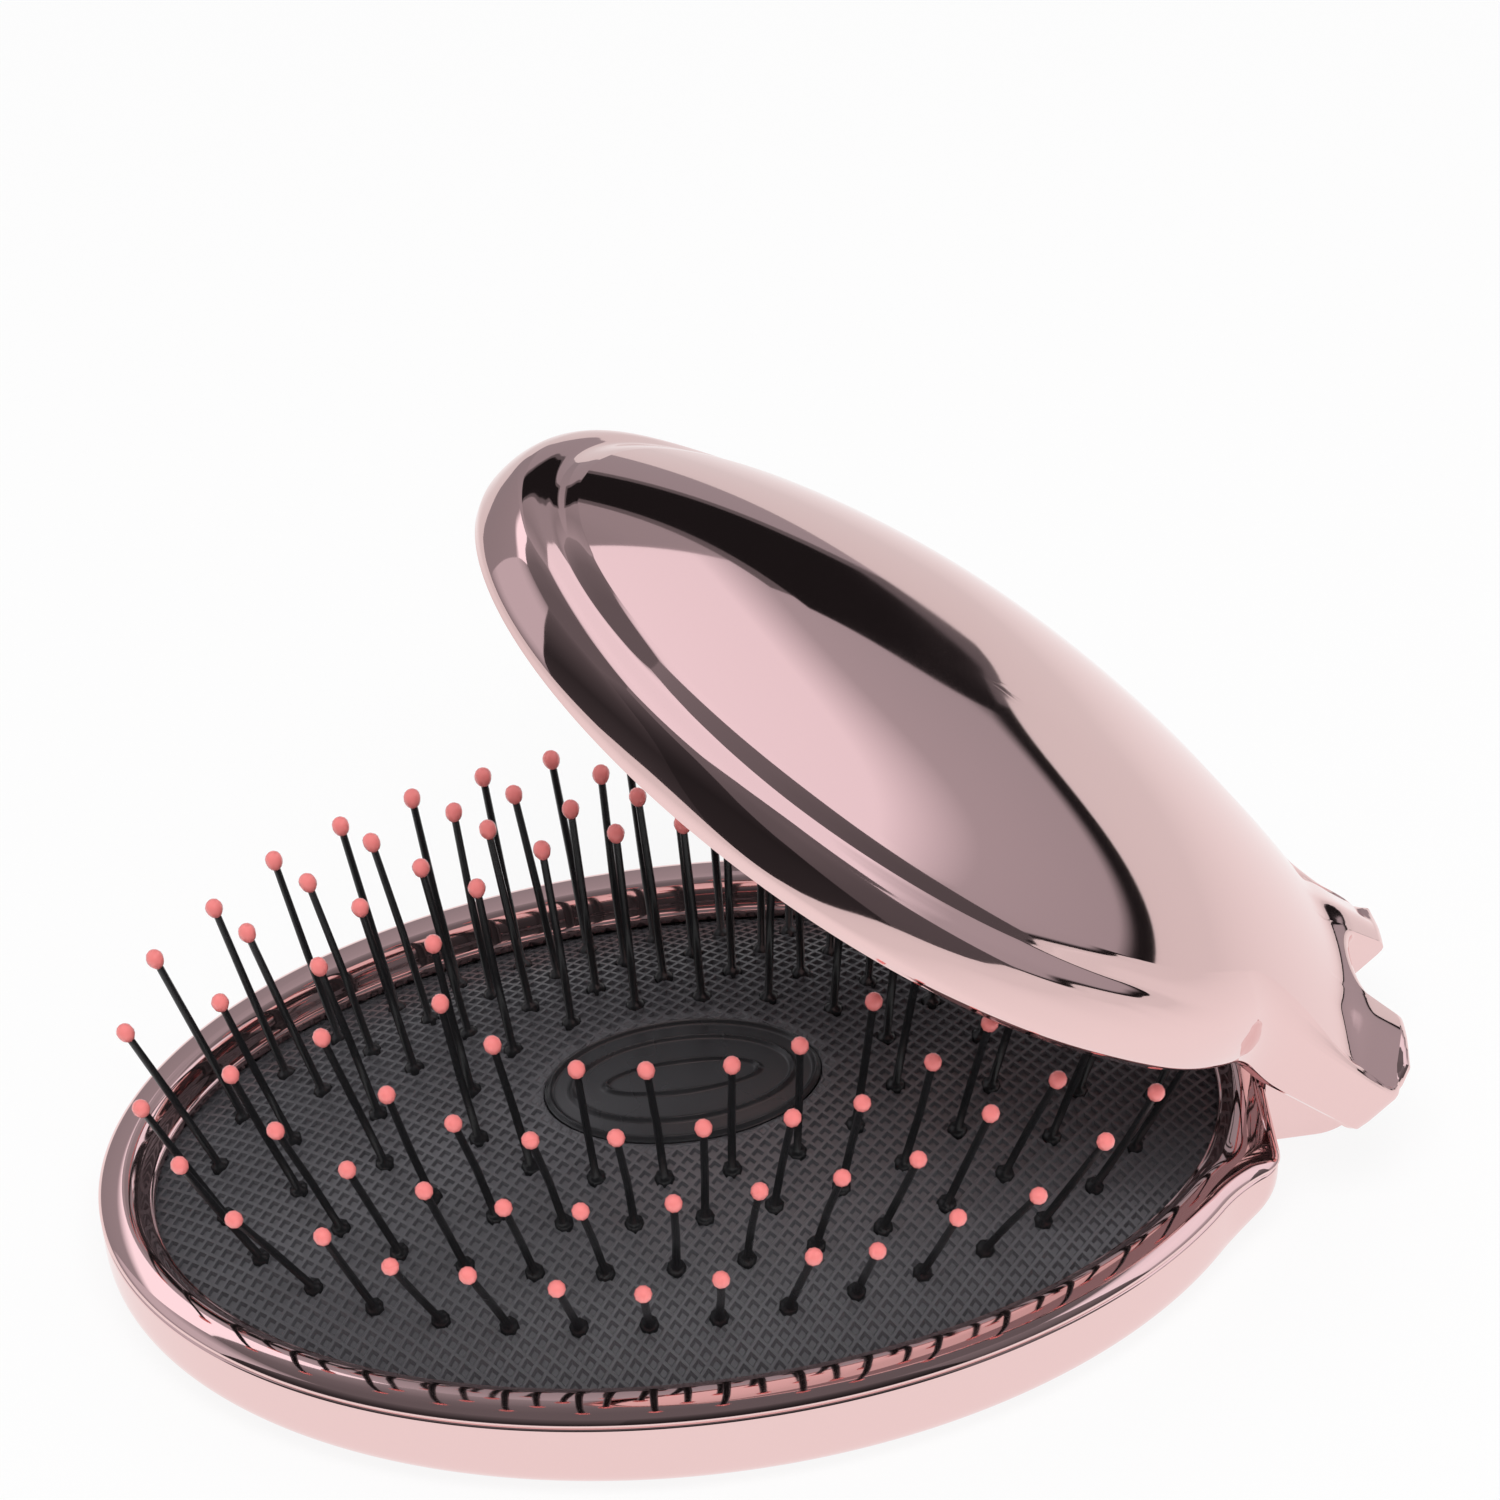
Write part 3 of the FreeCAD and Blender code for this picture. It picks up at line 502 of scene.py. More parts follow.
@dataclass
class HeadTray:
    """Plated back shell of the head with its belly, thumb hole and hinge knuckle."""

    belly: tuple = (51.0, 33.5, 16.0)
    softness: float = 60.0
    seam: float = 0.5
    seam_width: float = 0.12
    hole: float = 8.84
    floor: float = 1.8
    cavity: tuple = ((0.88, 0.84, 2.2), (0.94, 0.92, 5.0))
    knuckle_half: float = 3.2
    knuckle_radius: float = 2.2
    knuckle_root: float = 46.7
    knuckle_low: float = 2.8
    knuckle_high: float = PARTING + 1.2
    knuckle_toe: float = 4.0
    knuckle_edge: float = 0.45

    def shell(self) -> Object:
        """Belly: the outline shrunk at each height by the smooth lesser of 1 and an ellipsoid's share.

        Returns:
            The shell from the parting line over the belly and the base into the thumb hole and the cavity.
        """
        plan, _, _ = HEAD_OUTLINE.loop()
        drop = np.concatenate([[0.04, 0.10, 0.18, 0.30, 0.5], np.linspace(0.8, 8.0, 40),
                               np.linspace(8.2, PARTING, 8)])
        inset = self.seam * np.exp(-((drop - drop[0]) / self.seam_width) ** 2)
        reach = np.sqrt(1.0 - (drop / self.belly[2]) ** 2)[:, None]
        scale = (1.0 + (oval_share(plan, self.belly) / reach) ** self.softness) ** (-1.0 / self.softness)
        scale = scale * (1.0 - inset[:, None] / oval_share(plan, CIRCLE))
        side = lift(plan * scale[..., None], (PARTING - drop)[:, None])
        ring = oval((self.hole, self.hole), oval_turn(plan, CIRCLE))
        share = np.linspace(0.0, 1.0, 14)[1:, None, None]
        base = lift(side[-1, :, :2] * (1 - share) + ring * share, 0.0)
        wall = lift(ring, np.array([0.4, 1.1, self.floor])[:, None])
        inner = lift(ring[None] * 1.25, self.floor)
        cavity = np.stack([lift(plan * np.array([long, wide]), level) for long, wide, level in self.cavity])
        lid = side[:1] * np.array([0.95, 0.93, 1.0])
        rings = np.concatenate([lid, side, base, wall, inner, cavity])
        return ring_surface("head_shell", rings, looped=True, sharp=50.0)

    def knuckle(self) -> Object:
        """Hinge tongue: its side profile carried across the width, drawn in over the rounded edges.

        Returns:
            The tongue.
        """
        radius, toe = self.knuckle_radius, self.knuckle_toe
        toe_x = HINGE[0] + radius - toe
        profile = np.vstack([
            stacked(np.linspace(self.knuckle_root, toe_x, 8), self.knuckle_low),
            oval((toe, toe), np.linspace(-QUARTER, 0.0, 14)[1:]) + np.array([toe_x, self.knuckle_low + toe]),
            oval((radius, radius), np.linspace(0.0, math.pi, 30)) + HINGE[::2],
            stacked(np.linspace(HINGE[0] - radius, self.knuckle_root, 6)[1:], self.knuckle_high)])
        middle = np.array([HINGE[0] - 1.0, 9.0])
        turn = np.linspace(0.0, QUARTER, 6)
        inset = self.knuckle_edge * (1.0 - np.sin(turn))
        across = self.knuckle_half - self.knuckle_edge * (1.0 - np.cos(turn))
        inset = np.concatenate([inset, [0.0, 0.0], inset[::-1]])
        across = np.concatenate([-across, [-1.0, 1.0], across[::-1]])
        drawn = profile - unit(profile - middle) * inset[:, None, None]
        rings = stacked(drawn[..., 0], across[:, None], drawn[..., 1])
        first = np.array([middle[0], across[0], middle[1]])
        last = np.array([middle[0], across[-1], middle[1]])
        return ring_surface("head_knuckle", rings, first, last, sharp=40.0)

    def build(self) -> None:
        """Build and dress the shell and the knuckle."""
        dress(self.shell(), ROSE_PLATING, Body.HEAD.value, "head_back_shell")
        dress(self.knuckle(), ROSE_PLATING, Body.HEAD.value)


@dataclass
class RimFrame:
    """Plated ring round the cushion: rounded crest, cove and a thin lip.

    The section's knots are shares of the way from the outline to the opening, and heights.
    """

    opening: tuple = (43.5, 25.5)
    section: tuple = (
        (0.10, 9.04), (0.02, 9.12), (0.0, 9.28), (0.03, 9.56), (0.10, 9.84), (0.22, 10.07), (0.36, 10.20),
        (0.50, 10.22), (0.62, 10.06), (0.72, 9.70), (0.80, 9.20), (0.86, 8.76), (0.91, 8.46), (0.95, 8.36),
        (0.98, 8.30), (1.0, 8.10), (1.0, 7.62))
    under: tuple = ((0.98, 7.60), (0.62, 7.60), (0.60, 7.75), (0.60, 8.9), (0.58, 9.02), (0.2, 9.03))

    def build(self) -> None:
        """Build the ring: its section carried round, stretched between the outline and the opening."""
        plan, _, _ = HEAD_OUTLINE.loop()
        inner = oval(self.opening, oval_turn(plan, HEAD_OUTLINE.axes))
        curve = np.vstack([smooth_path(self.section, 5), np.array(self.under)])
        share = curve[:, 0, None, None]
        rings = lift(plan * (1 - share) + inner * share, curve[:, 1, None])
        piece = ring_surface("rim_frame", rings, looped=True, sharp=50.0)
        dress(piece, ROSE_PLATING, Body.HEAD.value, "head_rim_frame")


@dataclass
class CushionDome:
    """Shape of the rubber dome that the cushion, the press pad and the bristles share."""

    half: tuple = (72.0, 42.0, 43.25)
    crown: float = 16.25
    edge: float = 7.6

    def height(self, plan: Array) -> Array:
        """Height of the dome at plan positions: the upper half of an ellipsoid whose top is the crown."""
        share = (plan[..., 0] / self.half[0]) ** 2 + (plan[..., 1] / self.half[1]) ** 2
        return self.crown - self.half[2] + self.half[2] * np.sqrt(np.maximum(1.0 - share, 0.0))

    def normal(self, points: Array) -> Array:
        """Outward unit normal at points of the dome: the ellipsoid's gradient."""
        centre = np.array([0.0, 0.0, self.crown - self.half[2]])
        return unit((points - centre) / np.array(self.half) ** 2)


DOME = CushionDome()


@dataclass
class Cushion:
    """Rubber dome with a waffle of square pits."""

    pitch: float = 1.0
    rib: float = 0.24
    floor_rib: float = 2.2
    depth: float = 0.30
    cut_depth: float = 0.3
    edge: tuple = (44.6, 26.6)
    hole: tuple = (11.35, 6.75)
    skin: float = 1.0

    def build(self) -> None:
        """Build the sheet: each cell of a lattice at 45 degrees is a square pit with sloping sides.

        Cells cut by the edge or the pad's hole are brought onto these ovals and have shallow pits.
        The sheet is then thickened downwards.
        """
        count = int(self.edge[0] / self.pitch * 1.6)
        steps = np.arange(-count, count + 1)
        column, row = np.meshgrid(steps, steps, indexing="ij")
        plan = self.pitch * math.sqrt(0.5) * stacked(column - row, column + row)
        inside = (oval_share(plan, self.edge) < 1.0) & (oval_share(plan, self.hole) > 1.0)
        cell = np.stack([inside[:-1, :-1], inside[1:, :-1], inside[:-1, 1:], inside[1:, 1:]])
        first, second = np.nonzero(cell.any(axis=0))
        size = len(steps)
        corners = (first * size + second)[:, None] + np.array([0, size, size + 1, 1])
        flat = plan.reshape(-1, 2)
        flat = flat / np.maximum(oval_share(flat, self.edge), 1.0)[:, None]
        flat = flat / np.clip(oval_share(flat, self.hole), 1e-3, 1.0)[:, None]
        square = flat[corners]
        middle = square.mean(axis=1, keepdims=True)
        lips = middle + (square - middle) * (1.0 - self.rib)
        floor = middle + (square - middle) * (1.0 - self.floor_rib * self.rib)
        sunk = np.where(cell.all(axis=0)[first, second], self.depth, self.cut_depth * self.depth)
        used, ordered = np.unique(corners, return_inverse=True)
        ordered = ordered.reshape(corners.shape)
        points = [lift(flat[used], DOME.height(flat[used])), lift(lips, DOME.height(lips)).reshape(-1, 3),
                  lift(floor, DOME.height(floor) - sunk[:, None]).reshape(-1, 3)]
        lip = len(used) + np.arange(corners.size).reshape(corners.shape)
        low = lip + corners.size
        faces = [low]
        for upper, lower in ((ordered, lip), (lip, low)):
            for side in range(4):
                pair = [side, (side + 1) % 4]
                faces.append(np.hstack([upper[:, pair], lower[:, pair[::-1]]]))
        sheet = mesh_from("cushion_dome", np.vstack(points), faces, 20.0, closed=False)
        dress(self.thicken(sheet), WAFFLE_RUBBER_PAINTED_SHEEN, Body.HEAD.value, "cushion")
        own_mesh(sheet)

    def thicken(self, sheet: Object) -> Object:
        """Give the sheet its thickness and apply it to the mesh.

        Args:
            sheet: The open sheet.

        Returns:
            The same object with a closed mesh.
        """
        solid = sheet.modifiers.new("skin", "SOLIDIFY")
        solid.thickness = self.skin * MILLIMETRE
        solid.offset = -1.0
        graph = bpy.context.evaluated_depsgraph_get()
        mesh = bpy.data.meshes.new_from_object(sheet.evaluated_get(graph))
        sheet.modifiers.clear()
        sheet.data = mesh
        return sheet


@dataclass
class PressPad:
    """Smooth oval button at the crown with raised ovals, each an inset, a width and a rise."""

    half: tuple = (11.2, 6.6)
    low: float = 14.45
    ridges: tuple = ((0.35, 0.22, 0.36), (2.2, 0.20, 0.30), (4.95, 0.20, 0.30))

    def build(self) -> None:
        """Build the pad: the dome's cap with a smooth swell at each raised oval, and its side and underside.

        Every raised oval keeps an even inset from the pad's edge, so the inner ones are slimmer.
        """
        brim = oval(self.half, np.linspace(0.0, math.tau, 320, endpoint=False))
        share = np.concatenate([np.linspace(0.03, 0.9, 90), np.linspace(0.905, 1.0, 20)])
        plan = brim * share[:, None, None]
        height = DOME.height(plan)
        for inset, wide, rise in self.ridges:
            part = oval_share(plan, (self.half[0] - inset, self.half[1] - inset))
            away = np.linalg.norm(plan, axis=-1) * (1.0 - 1.0 / part)
            height = height + rise * np.exp(-(away / wide) ** 2)
        rings = np.concatenate([lift(plan, height), lift(brim[None] * 0.99, self.low)])
        crown = np.array([0.0, 0.0, DOME.crown])
        foot = np.array([0.0, 0.0, self.low])
        piece = ring_surface("press_pad_cap", rings, crown, foot)
        dress(piece, SMOOTH_RUBBER, Body.POPPER.value, "press_pad")


@dataclass
class BristleRow:
    """One oval row of bristles with collars and dipped tips, split into sectors."""

    number: int
    half: tuple
    count: int
    sectors: int
    length: float = 15.4
    radius: float = 0.34
    tip_radius: float = 0.73
    tip_half: float = 0.86
    lean: float = 0.018
    bow: float = 0.5
    keep: float = 0.27

    def roots(self) -> Array:
        """Space the bristles evenly along the oval's length.

        Returns:
            Their plan positions.
        """
        path = oval(self.half, np.linspace(0.0, math.tau, 2001))
        walk = np.concatenate([[0.0], np.cumsum(np.linalg.norm(np.diff(path, axis=0), axis=-1))])
        target = walk[-1] * (np.arange(self.count) + 0.5) / self.count
        return stacked(*(np.interp(target, walk, column) for column in path.T))

    def frames(self) -> tuple:
        """Find each bristle's root and direction, the dome's normal with a small random lean.

        Returns:
            Arrays of roots, directions, first and second side directions.
        """
        chance = np.random.default_rng(40 + self.number)
        plan = self.roots()
        root = lift(plan, DOME.height(plan))
        way = unit(DOME.normal(root) + chance.normal(0.0, self.lean, root.shape))
        side = unit(np.cross(way, np.array([0.0, 0.0, 1.0])))
        return root, way, side, np.cross(way, side)

    def swept(self, name: str, profile: Array, around: int, chosen: Array) -> Object:
        """Turned shapes: a profile of radius and height, spun about each chosen bristle's own line.

        The line bows sideways at random, with the square of the height.

        Args:
            name: Name of the piece.
            profile: Radius and height along the bristle, pole to pole.
            around: Points in each ring.
            chosen: Numbers of the bristles.

        Returns:
            The joined piece.
        """
        root, way, side, other = (block[chosen] for block in self.frames())
        turn = np.linspace(0.0, math.tau, around, endpoint=False)
        spin = side[:, None] * np.cos(turn)[:, None] + other[:, None] * np.sin(turn)[:, None]
        height = profile[:, 1]
        chance = np.random.default_rng(90 + self.number)
        sway = chance.uniform(-1.0, 1.0, (self.count, 2))[chosen] * self.bow
        curve = (height / (self.length + 1.0)) ** 2
        line = root[:, None] + way[:, None] * height[:, None]
        line = line + curve[:, None] * (side * sway[:, :1] + other * sway[:, 1:])[:, None]
        rings = line[:, 1:-1, None] + spin[:, None] * profile[1:-1, None, :1]
        pins, levels = rings.shape[:2]
        block = levels * around
        points = np.concatenate([rings.reshape(pins, block, 3), line[:, :1], line[:, -1:]], axis=1)
        step = (np.arange(pins) * (block + 2))[:, None, None]
        shapes = (grid_faces(levels, around, False), fan_faces(0, around, block),
                  fan_faces(block - around, around, block + 1))
        faces = [(step + shape).reshape(-1, shape.shape[1]) for shape in shapes]
        return mesh_from(name, points.reshape(-1, 3), faces, 60.0)

    def build(self) -> None:
        """Build each sector's shafts and tips and put them on the row's body."""
        root, way, _, _ = self.frames()
        turn = oval_turn(root, self.half)
        sector = np.floor((turn + math.pi) / math.tau * self.sectors).astype(int) % self.sectors
        body = f"row_{self.number}"
        top = self.length + 0.6
        shaft = np.array([(0.0, -0.5), (0.85, -0.5), (0.80, 0.12), (0.60, 0.34), (self.radius, 0.55),
                          (self.radius, 8.0), (self.radius * 0.92, top), (0.0, top)])
        centre = self.length + 0.3 + self.tip_half
        bend = np.linspace(-QUARTER, QUARTER, 9)
        taper = 1.0 + 0.10 * np.sin(bend)
        tip = stacked(self.tip_radius * np.cos(bend) * taper, centre + self.tip_half * np.sin(bend))
        for part in range(self.sectors):
            chosen = np.nonzero(sector == part)[0]
            shafts = self.swept(f"bristles_{self.number}_{part}", shaft, 8, chosen)
            tips = self.swept(f"tips_{self.number}_{part}", tip, 10, chosen)
            dress(shafts, BLACK_NYLON, body, *([f"bristles_row_{self.number}"] if part == 0 else []))
            dress(tips, CORAL_DIP, body, *([f"tips_row_{self.number}"] if part == 0 else []))
            for piece in (shafts, tips):
                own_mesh(piece)


@dataclass
class HandleShell:
    """Plated hollow handle: domed panel inside a beaded edge, two bevelled lugs below the rim, and ears.

    The edge sections are knots of inset from the outline and height above the rim, from the foot of
    the panel over the edge to the rim. Each fade is the stretch along X over which one section turns
    into the next.
    """

    crown: float = 11.6
    foot: float = 7.06
    fullness: float = 3.22
    neck_fullness: float = 2.3
    neck_reach: float = 36.7
    lug: float = 4.8
    lug_flat: float = 6.2
    lug_slope: float = 0.5
    lug_round: float = 0.3
    lug_sink: float = 4.0
    lug_rise: tuple = (34.0, 47.5)
    valley: float = 0.4
    crease: float = 4.66
    bead: tuple = (
        (4.66, 7.06), (4.25, 6.74), (3.90, 6.40), (3.48, 5.92), (3.20, 5.63), (2.75, 5.40), (2.30, 5.16),
        (1.90, 4.82), (1.47, 4.37), (0.75, 3.30), (0.10, 1.70), (0.0, 0.9), (0.35, 0.0))
    nose: tuple = (
        (4.66, 7.06), (4.25, 6.78), (3.85, 6.45), (3.35, 6.0), (2.95, 5.72), (2.4, 5.55), (1.75, 5.35),
        (1.2, 5.05), (0.75, 4.65), (0.3, 3.9), (0.0, 2.6), (0.0, 1.0), (0.35, 0.0))
    plain: tuple = (
        (4.66, 7.06), (3.9, 6.65), (3.2, 6.2), (2.6, 5.75), (2.1, 5.3), (1.65, 4.8), (1.25, 4.25),
        (0.9, 3.65), (0.6, 3.0), (0.3, 2.1), (0.05, 1.1), (0.0, 0.2), (0.4, -0.5))
    bevelled: tuple = (
        (0.9, 2.9), (0.8, 2.88), (0.7, 2.85), (0.55, 2.78), (0.4, 2.68), (0.25, 2.53), (0.1, 2.3), (0.0, 1.9),
        (0.0, 1.2), (0.0, 0.2), (0.0, -1.2), (0.1, -2.3), (0.5, -2.7))
    brink: tuple = (
        (1.2, 4.8), (1.05, 4.8), (0.9, 4.79), (0.7, 4.75), (0.45, 4.66), (0.2, 4.45), (0.05, 4.1), (0.0, 3.5),
        (0.0, 2.2), (0.0, 0.6), (0.0, -1.2), (0.1, -2.3), (0.4, -2.7))
    nose_fade: tuple = (-34.0, -18.0)
    plain_fade: tuple = (17.0, 33.0)
    lug_fade: tuple = (33.0, 43.0)
    least_reach: float = 8.0
    inner: tuple = (40.2, 23.2)
    inner_foot: float = 3.6
    inner_fullness: float = 2.5
    wall: float = 1.6
    ear_radius: float = 2.2
    ear_span: tuple = (3.75, 9.8)
    ear_rounds: tuple = (0.4, 0.8)

    def top(self, plan: Array) -> Array:
        """Height of the panel: a dome that falls with a power of the share of its oval, joined to the lugs.

        The power is lower towards the neck, so that the panel falls earlier there.

        Args:
            plan: Plan positions relative to the oval's centre.

        Returns:
            Heights above the rim, the smooth greater of the dome and the lugs' flat top.
        """
        length, width = HANDLE_OUTLINE.axes
        reach = np.where(plan[..., 0] > 0.0, self.neck_reach, length - self.crease)
        share = oval_share(plan, (reach, width - self.crease))
        facing = plan[..., 0] / reach / np.maximum(share, 1e-6)
        power = self.fullness + (self.neck_fullness - self.fullness) * smoothstep(0.0, 1.0, facing)
        dome = self.foot + (self.crown - self.foot) * (1.0 - share ** power)
        beyond = np.abs(plan[..., 1]) - self.lug_flat
        bevel = self.lug_slope * 0.5 * (beyond + np.sqrt(beyond ** 2 + self.lug_round))
        flat = self.lug - bevel - self.lug_sink * (1.0 - smoothstep(*self.lug_rise, plan[..., 0]))
        return 0.5 * (dome + flat + np.sqrt((dome - flat) ** 2 + self.valley))

    def edge(self, plan: Array, normal: Array, codes: Array) -> Array:
        """Rings of the edge from the foot of the panel to the rim.

        The bead of the oval grows fuller at the nose and fades into a plain round towards the neck, then into
        the bevel along the lugs and a small round at their ends.
        Each ring is the outline shrunk towards the oval's centre until it has its inset.

        Args:
            plan: Outline points relative to the oval's centre.
            normal: Outward normals of the outline.
            codes: Edge of each outline point.

        Returns:
            Array of rings in the shut pose, relative to the oval's centre and the rim.
        """
        steps, spans = 5, len(self.bead) - 1
        place = np.linspace(0.0, spans, spans * steps + 1)
        bevelled, brink = (
            stacked(*(np.interp(place, np.arange(spans + 1), column) for column in np.array(path).T))
            for path in (self.bevelled, self.brink))
        nose, bead, plain = (smooth_path(path, steps) for path in (self.nose, self.bead, self.plain))
        section = nose[:, None]
        for path, fade in ((bead, self.nose_fade), (plain, self.plain_fade), (bevelled, self.lug_fade)):
            share = smoothstep(*fade, plan[:, 0])[None, :, None]
            section = section * (1 - share) + path[:, None] * share
        ends = np.convolve(np.pad(codes != Edge.FLANK, 1, mode="wrap"), np.full(3, 1 / 3), mode="valid")
        ends = ends[None, :, None]
        section = section * (1 - ends) + brink[:, None] * ends
        outward = np.maximum((plan * normal).sum(axis=-1), self.least_reach)
        away = np.where(codes == Edge.NOTCH, HANDLE_OUTLINE.notch_x, outward)
        spread = plan * (1.0 - section[..., 0] / away)[..., None]
        fall = np.linspace(1.0, 0.0, len(place))[:, None] ** 2
        return lift(spread, section[..., 1] + (self.top(spread[0]) - section[0, :, 1]) * fall)

    def shell(self) -> Object:
        """Whole shell: panel, edge, rim, inner side and the roof of the hollow.

        Returns:
            The shell turned to its resting angle.
        """
        plan, normal, codes = HANDLE_OUTLINE.loop()
        edge = self.edge(plan, normal, codes)
        share = np.sin(np.linspace(0.0, QUARTER, 60))[1:-1, None, None]
        field_plan = edge[:1, :, :2] * share
        panel = lift(field_plan, self.top(field_plan))
        mouth = oval(self.inner, oval_turn(plan, self.inner))
        share = np.linspace(0.0, 1.0, 5)[1:, None, None]
        rim = lift(edge[-1, :, :2] * (1 - share) + mouth * share, edge[-1, :, 2] * (1 - share[..., 0]) ** 2)
        shrink = np.concatenate([np.ones(3), np.linspace(0.99, 0.03, 30)])
        climb = np.concatenate([[0.3, 0.65, 0.95], np.ones(30)])
        ceiling = self.crown - self.wall
        roof = self.inner_foot + (ceiling - self.inner_foot) * (1.0 - shrink ** self.inner_fullness)
        hollow = lift(shrink[:, None, None] * mouth, (roof * climb)[:, None])
        offset = np.array([HANDLE_OUTLINE.centre, 0.0, SHUT_RIM])
        rings = np.concatenate([panel, edge, rim, hollow]) + offset
        first = np.array([0.0, 0.0, self.top(np.zeros(2))]) + offset
        last = np.array([0.0, 0.0, ceiling]) + offset
        return ring_surface("handle_body", turn_open(rings), turn_open(first), turn_open(last), sharp=30.0)

    def ears(self, side: float) -> Object:
        """Round ear about the hinge pin: a rounded bar's profile spun about the hinge axis.

        Args:
            side: Sign of the ear's side along Y.

        Returns:
            The ear.
        """
        low, high = self.ear_span
        inner, outer = self.ear_rounds
        bend = np.linspace(0.0, QUARTER, 6)
        radius = np.concatenate([self.ear_radius - inner + inner * np.sin(bend),
                                 self.ear_radius - outer + outer * np.cos(bend)])[:, None]
        across = np.concatenate([low + inner * (1 - np.cos(bend)), high - outer + outer * np.sin(bend)])
        turn = np.linspace(0.0, math.tau, 64, endpoint=False)
        rings = stacked(HINGE[0] + radius * np.cos(turn), side * across[:, None],
                        HINGE[2] + radius * np.sin(turn))
        first = HINGE + np.array([0.0, side * low, 0.0])
        last = HINGE + np.array([0.0, side * high, 0.0])
        return ring_surface("ear_near" if side < 0 else "ear_far", rings, first, last)

    def build(self) -> None:
        """Build and dress the shell and its ears."""
        dress(self.shell(), ROSE_PLATING, Body.HANDLE.value, "handle_shell")
        for side in (-1.0, 1.0):
            dress(self.ears(side), ROSE_PLATING, Body.HANDLE.value)


INNER_FINISHES = {
    INNER_PLASTIC: ("clamp_ring", "guide_bush", "plunger", "friction_washer_near", "friction_washer_far"),
    PIN_STEEL: ("clamp_screws", "plunger_screw", "hinge_pin"),
    ROSE_PLATING: ("back_button", "hinge_cap")}


class InnerWorks:
    """CAD nodes that show as they are, with their finishes."""

    def build(self) -> None:
        """Give every node its finish."""
        for finish, nodes in INNER_FINISHES.items():
            for node in nodes:
                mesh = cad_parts[node].data
                mesh.materials.clear()
                mesh.materials.append(finish.material())
                log.info("node %s takes %s", node, finish.name)


@dataclass
class Screen:
    """Flat screen of the set that only reflections see, shaded by its distance along one direction."""

    name: str
    corners: tuple
    along: tuple
    reach: float
    stops: tuple

    def build(self) -> None:
        """Build the screen: a sheet through its corners, with a brightness at each distance."""
        sheet = mesh_from(self.name, np.array(self.corners, float), [QUAD], closed=False)
        paint = bpy.data.materials.new(self.name)
        paint.use_nodes = True
        tree = paint.node_tree
        tree.nodes.clear()
        place = add_node(tree, "TexCoord")
        level = add_node(tree, "VectorMath", {1: self.along}, operation="DOT_PRODUCT")
        rise = add_node(tree, "MapRange", {"From Max": self.reach * MILLIMETRE})
        ramp = add_node(tree, "ValToRGB")
        band = ramp.color_ramp.elements
        while len(band) < len(self.stops):
            band.new(0.5)
        for mark, (height, grey) in zip(band, self.stops):
            mark.position = height / self.reach
            mark.color = (grey, grey * 0.97, grey * 1.03, 1.0)
        glow = add_node(tree, "Emission")
        join(tree, (place, "Object", level, 0), (level, "Value", rise, "Value"),
             (rise, "Result", ramp, "Fac"), (ramp, "Color", glow, "Color"),
             (glow, 0, add_node(tree, "OutputMaterial"), "Surface"))
        sheet.data.materials.append(paint)
        sheet.visible_camera = False
        sheet.visible_diffuse = False
        sheet.visible_shadow = False


def level_square(reach: float, level: float) -> tuple:
    """Corners of a level square about the middle of the set."""
    return tuple((x * reach, y * reach, level) for x, y in ((-1, -1), (1, -1), (1, 1), (-1, 1)))


def standing(name: str, first: float, last: float, stops: tuple, low: tuple = (0.0, 0.0),
             high: tuple = (SET_HEIGHT, SET_HEIGHT), ring: float = SET_RING) -> Screen:
    """Upright screen of the ring round the set, between two bearings.

    Args:
        name: Name of the screen.
        first: Bearing of one edge, in degrees from +X.
        last: Bearing of the other edge.
        stops: Heights and brightness.
        low: Height of the lower corner at either edge.
        high: Height of the upper corner at either edge.
        ring: Distance of the edges from the middle of the set.

    Returns:
        The screen.
    """
    (ax, ay), (bx, by) = oval((ring, ring), np.radians([first, last]))
    corners = ((ax, ay, low[0]), (bx, by, low[1]), (bx, by, high[1]), (ax, ay, high[0]))
    return Screen(name, corners, (0.0, 0.0, 1.0), SET_HEIGHT, stops)


DARK = ((0, 0.012), (1500, 0.012))
DUSKY = ((0, 0.13), (1500, 0.13))
SCREENS = (
    standing("right_screen", -30, 46, (
        (0, 0.012), (22, 0.012), (42, 0.40), (230, 0.44), (370, 0.95), (900, 1),
        (1300, 0.95), (1500, 0.5))),
    standing("back_right_screen", 46, 84, ((0, 0.36), (500, 0.34), (900, 0.28), (1500, 0.40))),
    standing("low_flag", 31, 50, DARK, (0, 20), (18, 285), 870),
    standing("high_flag", 50, 84, DARK, (20, 400), (285, 690), 870),
    standing("low_fringe", 29, 50, DUSKY, (0, 0), (32, 325), 880),
    standing("high_fringe", 50, 85, DUSKY, (0, 370), (325, 740), 880),
    standing("back_screen", 84, 97, ((0, 0.30), (700, 0.36), (1500, 0.42))),
    standing("back_left_screen", 97, 155, ((0, 0.30), (800, 0.34), (950, 1.2), (1500, 1.2))),
    standing("left_screen", 155, 200, ((0, 0.22), (250, 0.60), (800, 0.60), (1500, 0.25))),
    standing("front_left_screen", 200, 260, ((0, 0.05), (300, 0.03), (700, 0.08), (1500, 0.15))),
    standing("front_right_screen", 260, 300, ((0, 0.03), (300, 0.02), (700, 0.05), (1500, 0.15))),
    standing("right_edge_screen", 300, 330, ((0, 0.09), (230, 0.10), (600, 0.16), (1500, 0.22))),
    Screen("roof_screen", level_square(SET_RING, SET_HEIGHT), (0, 1, 0), SET_RING,
           ((0, 0.14), (400, 0.17), (900, 0.3))))


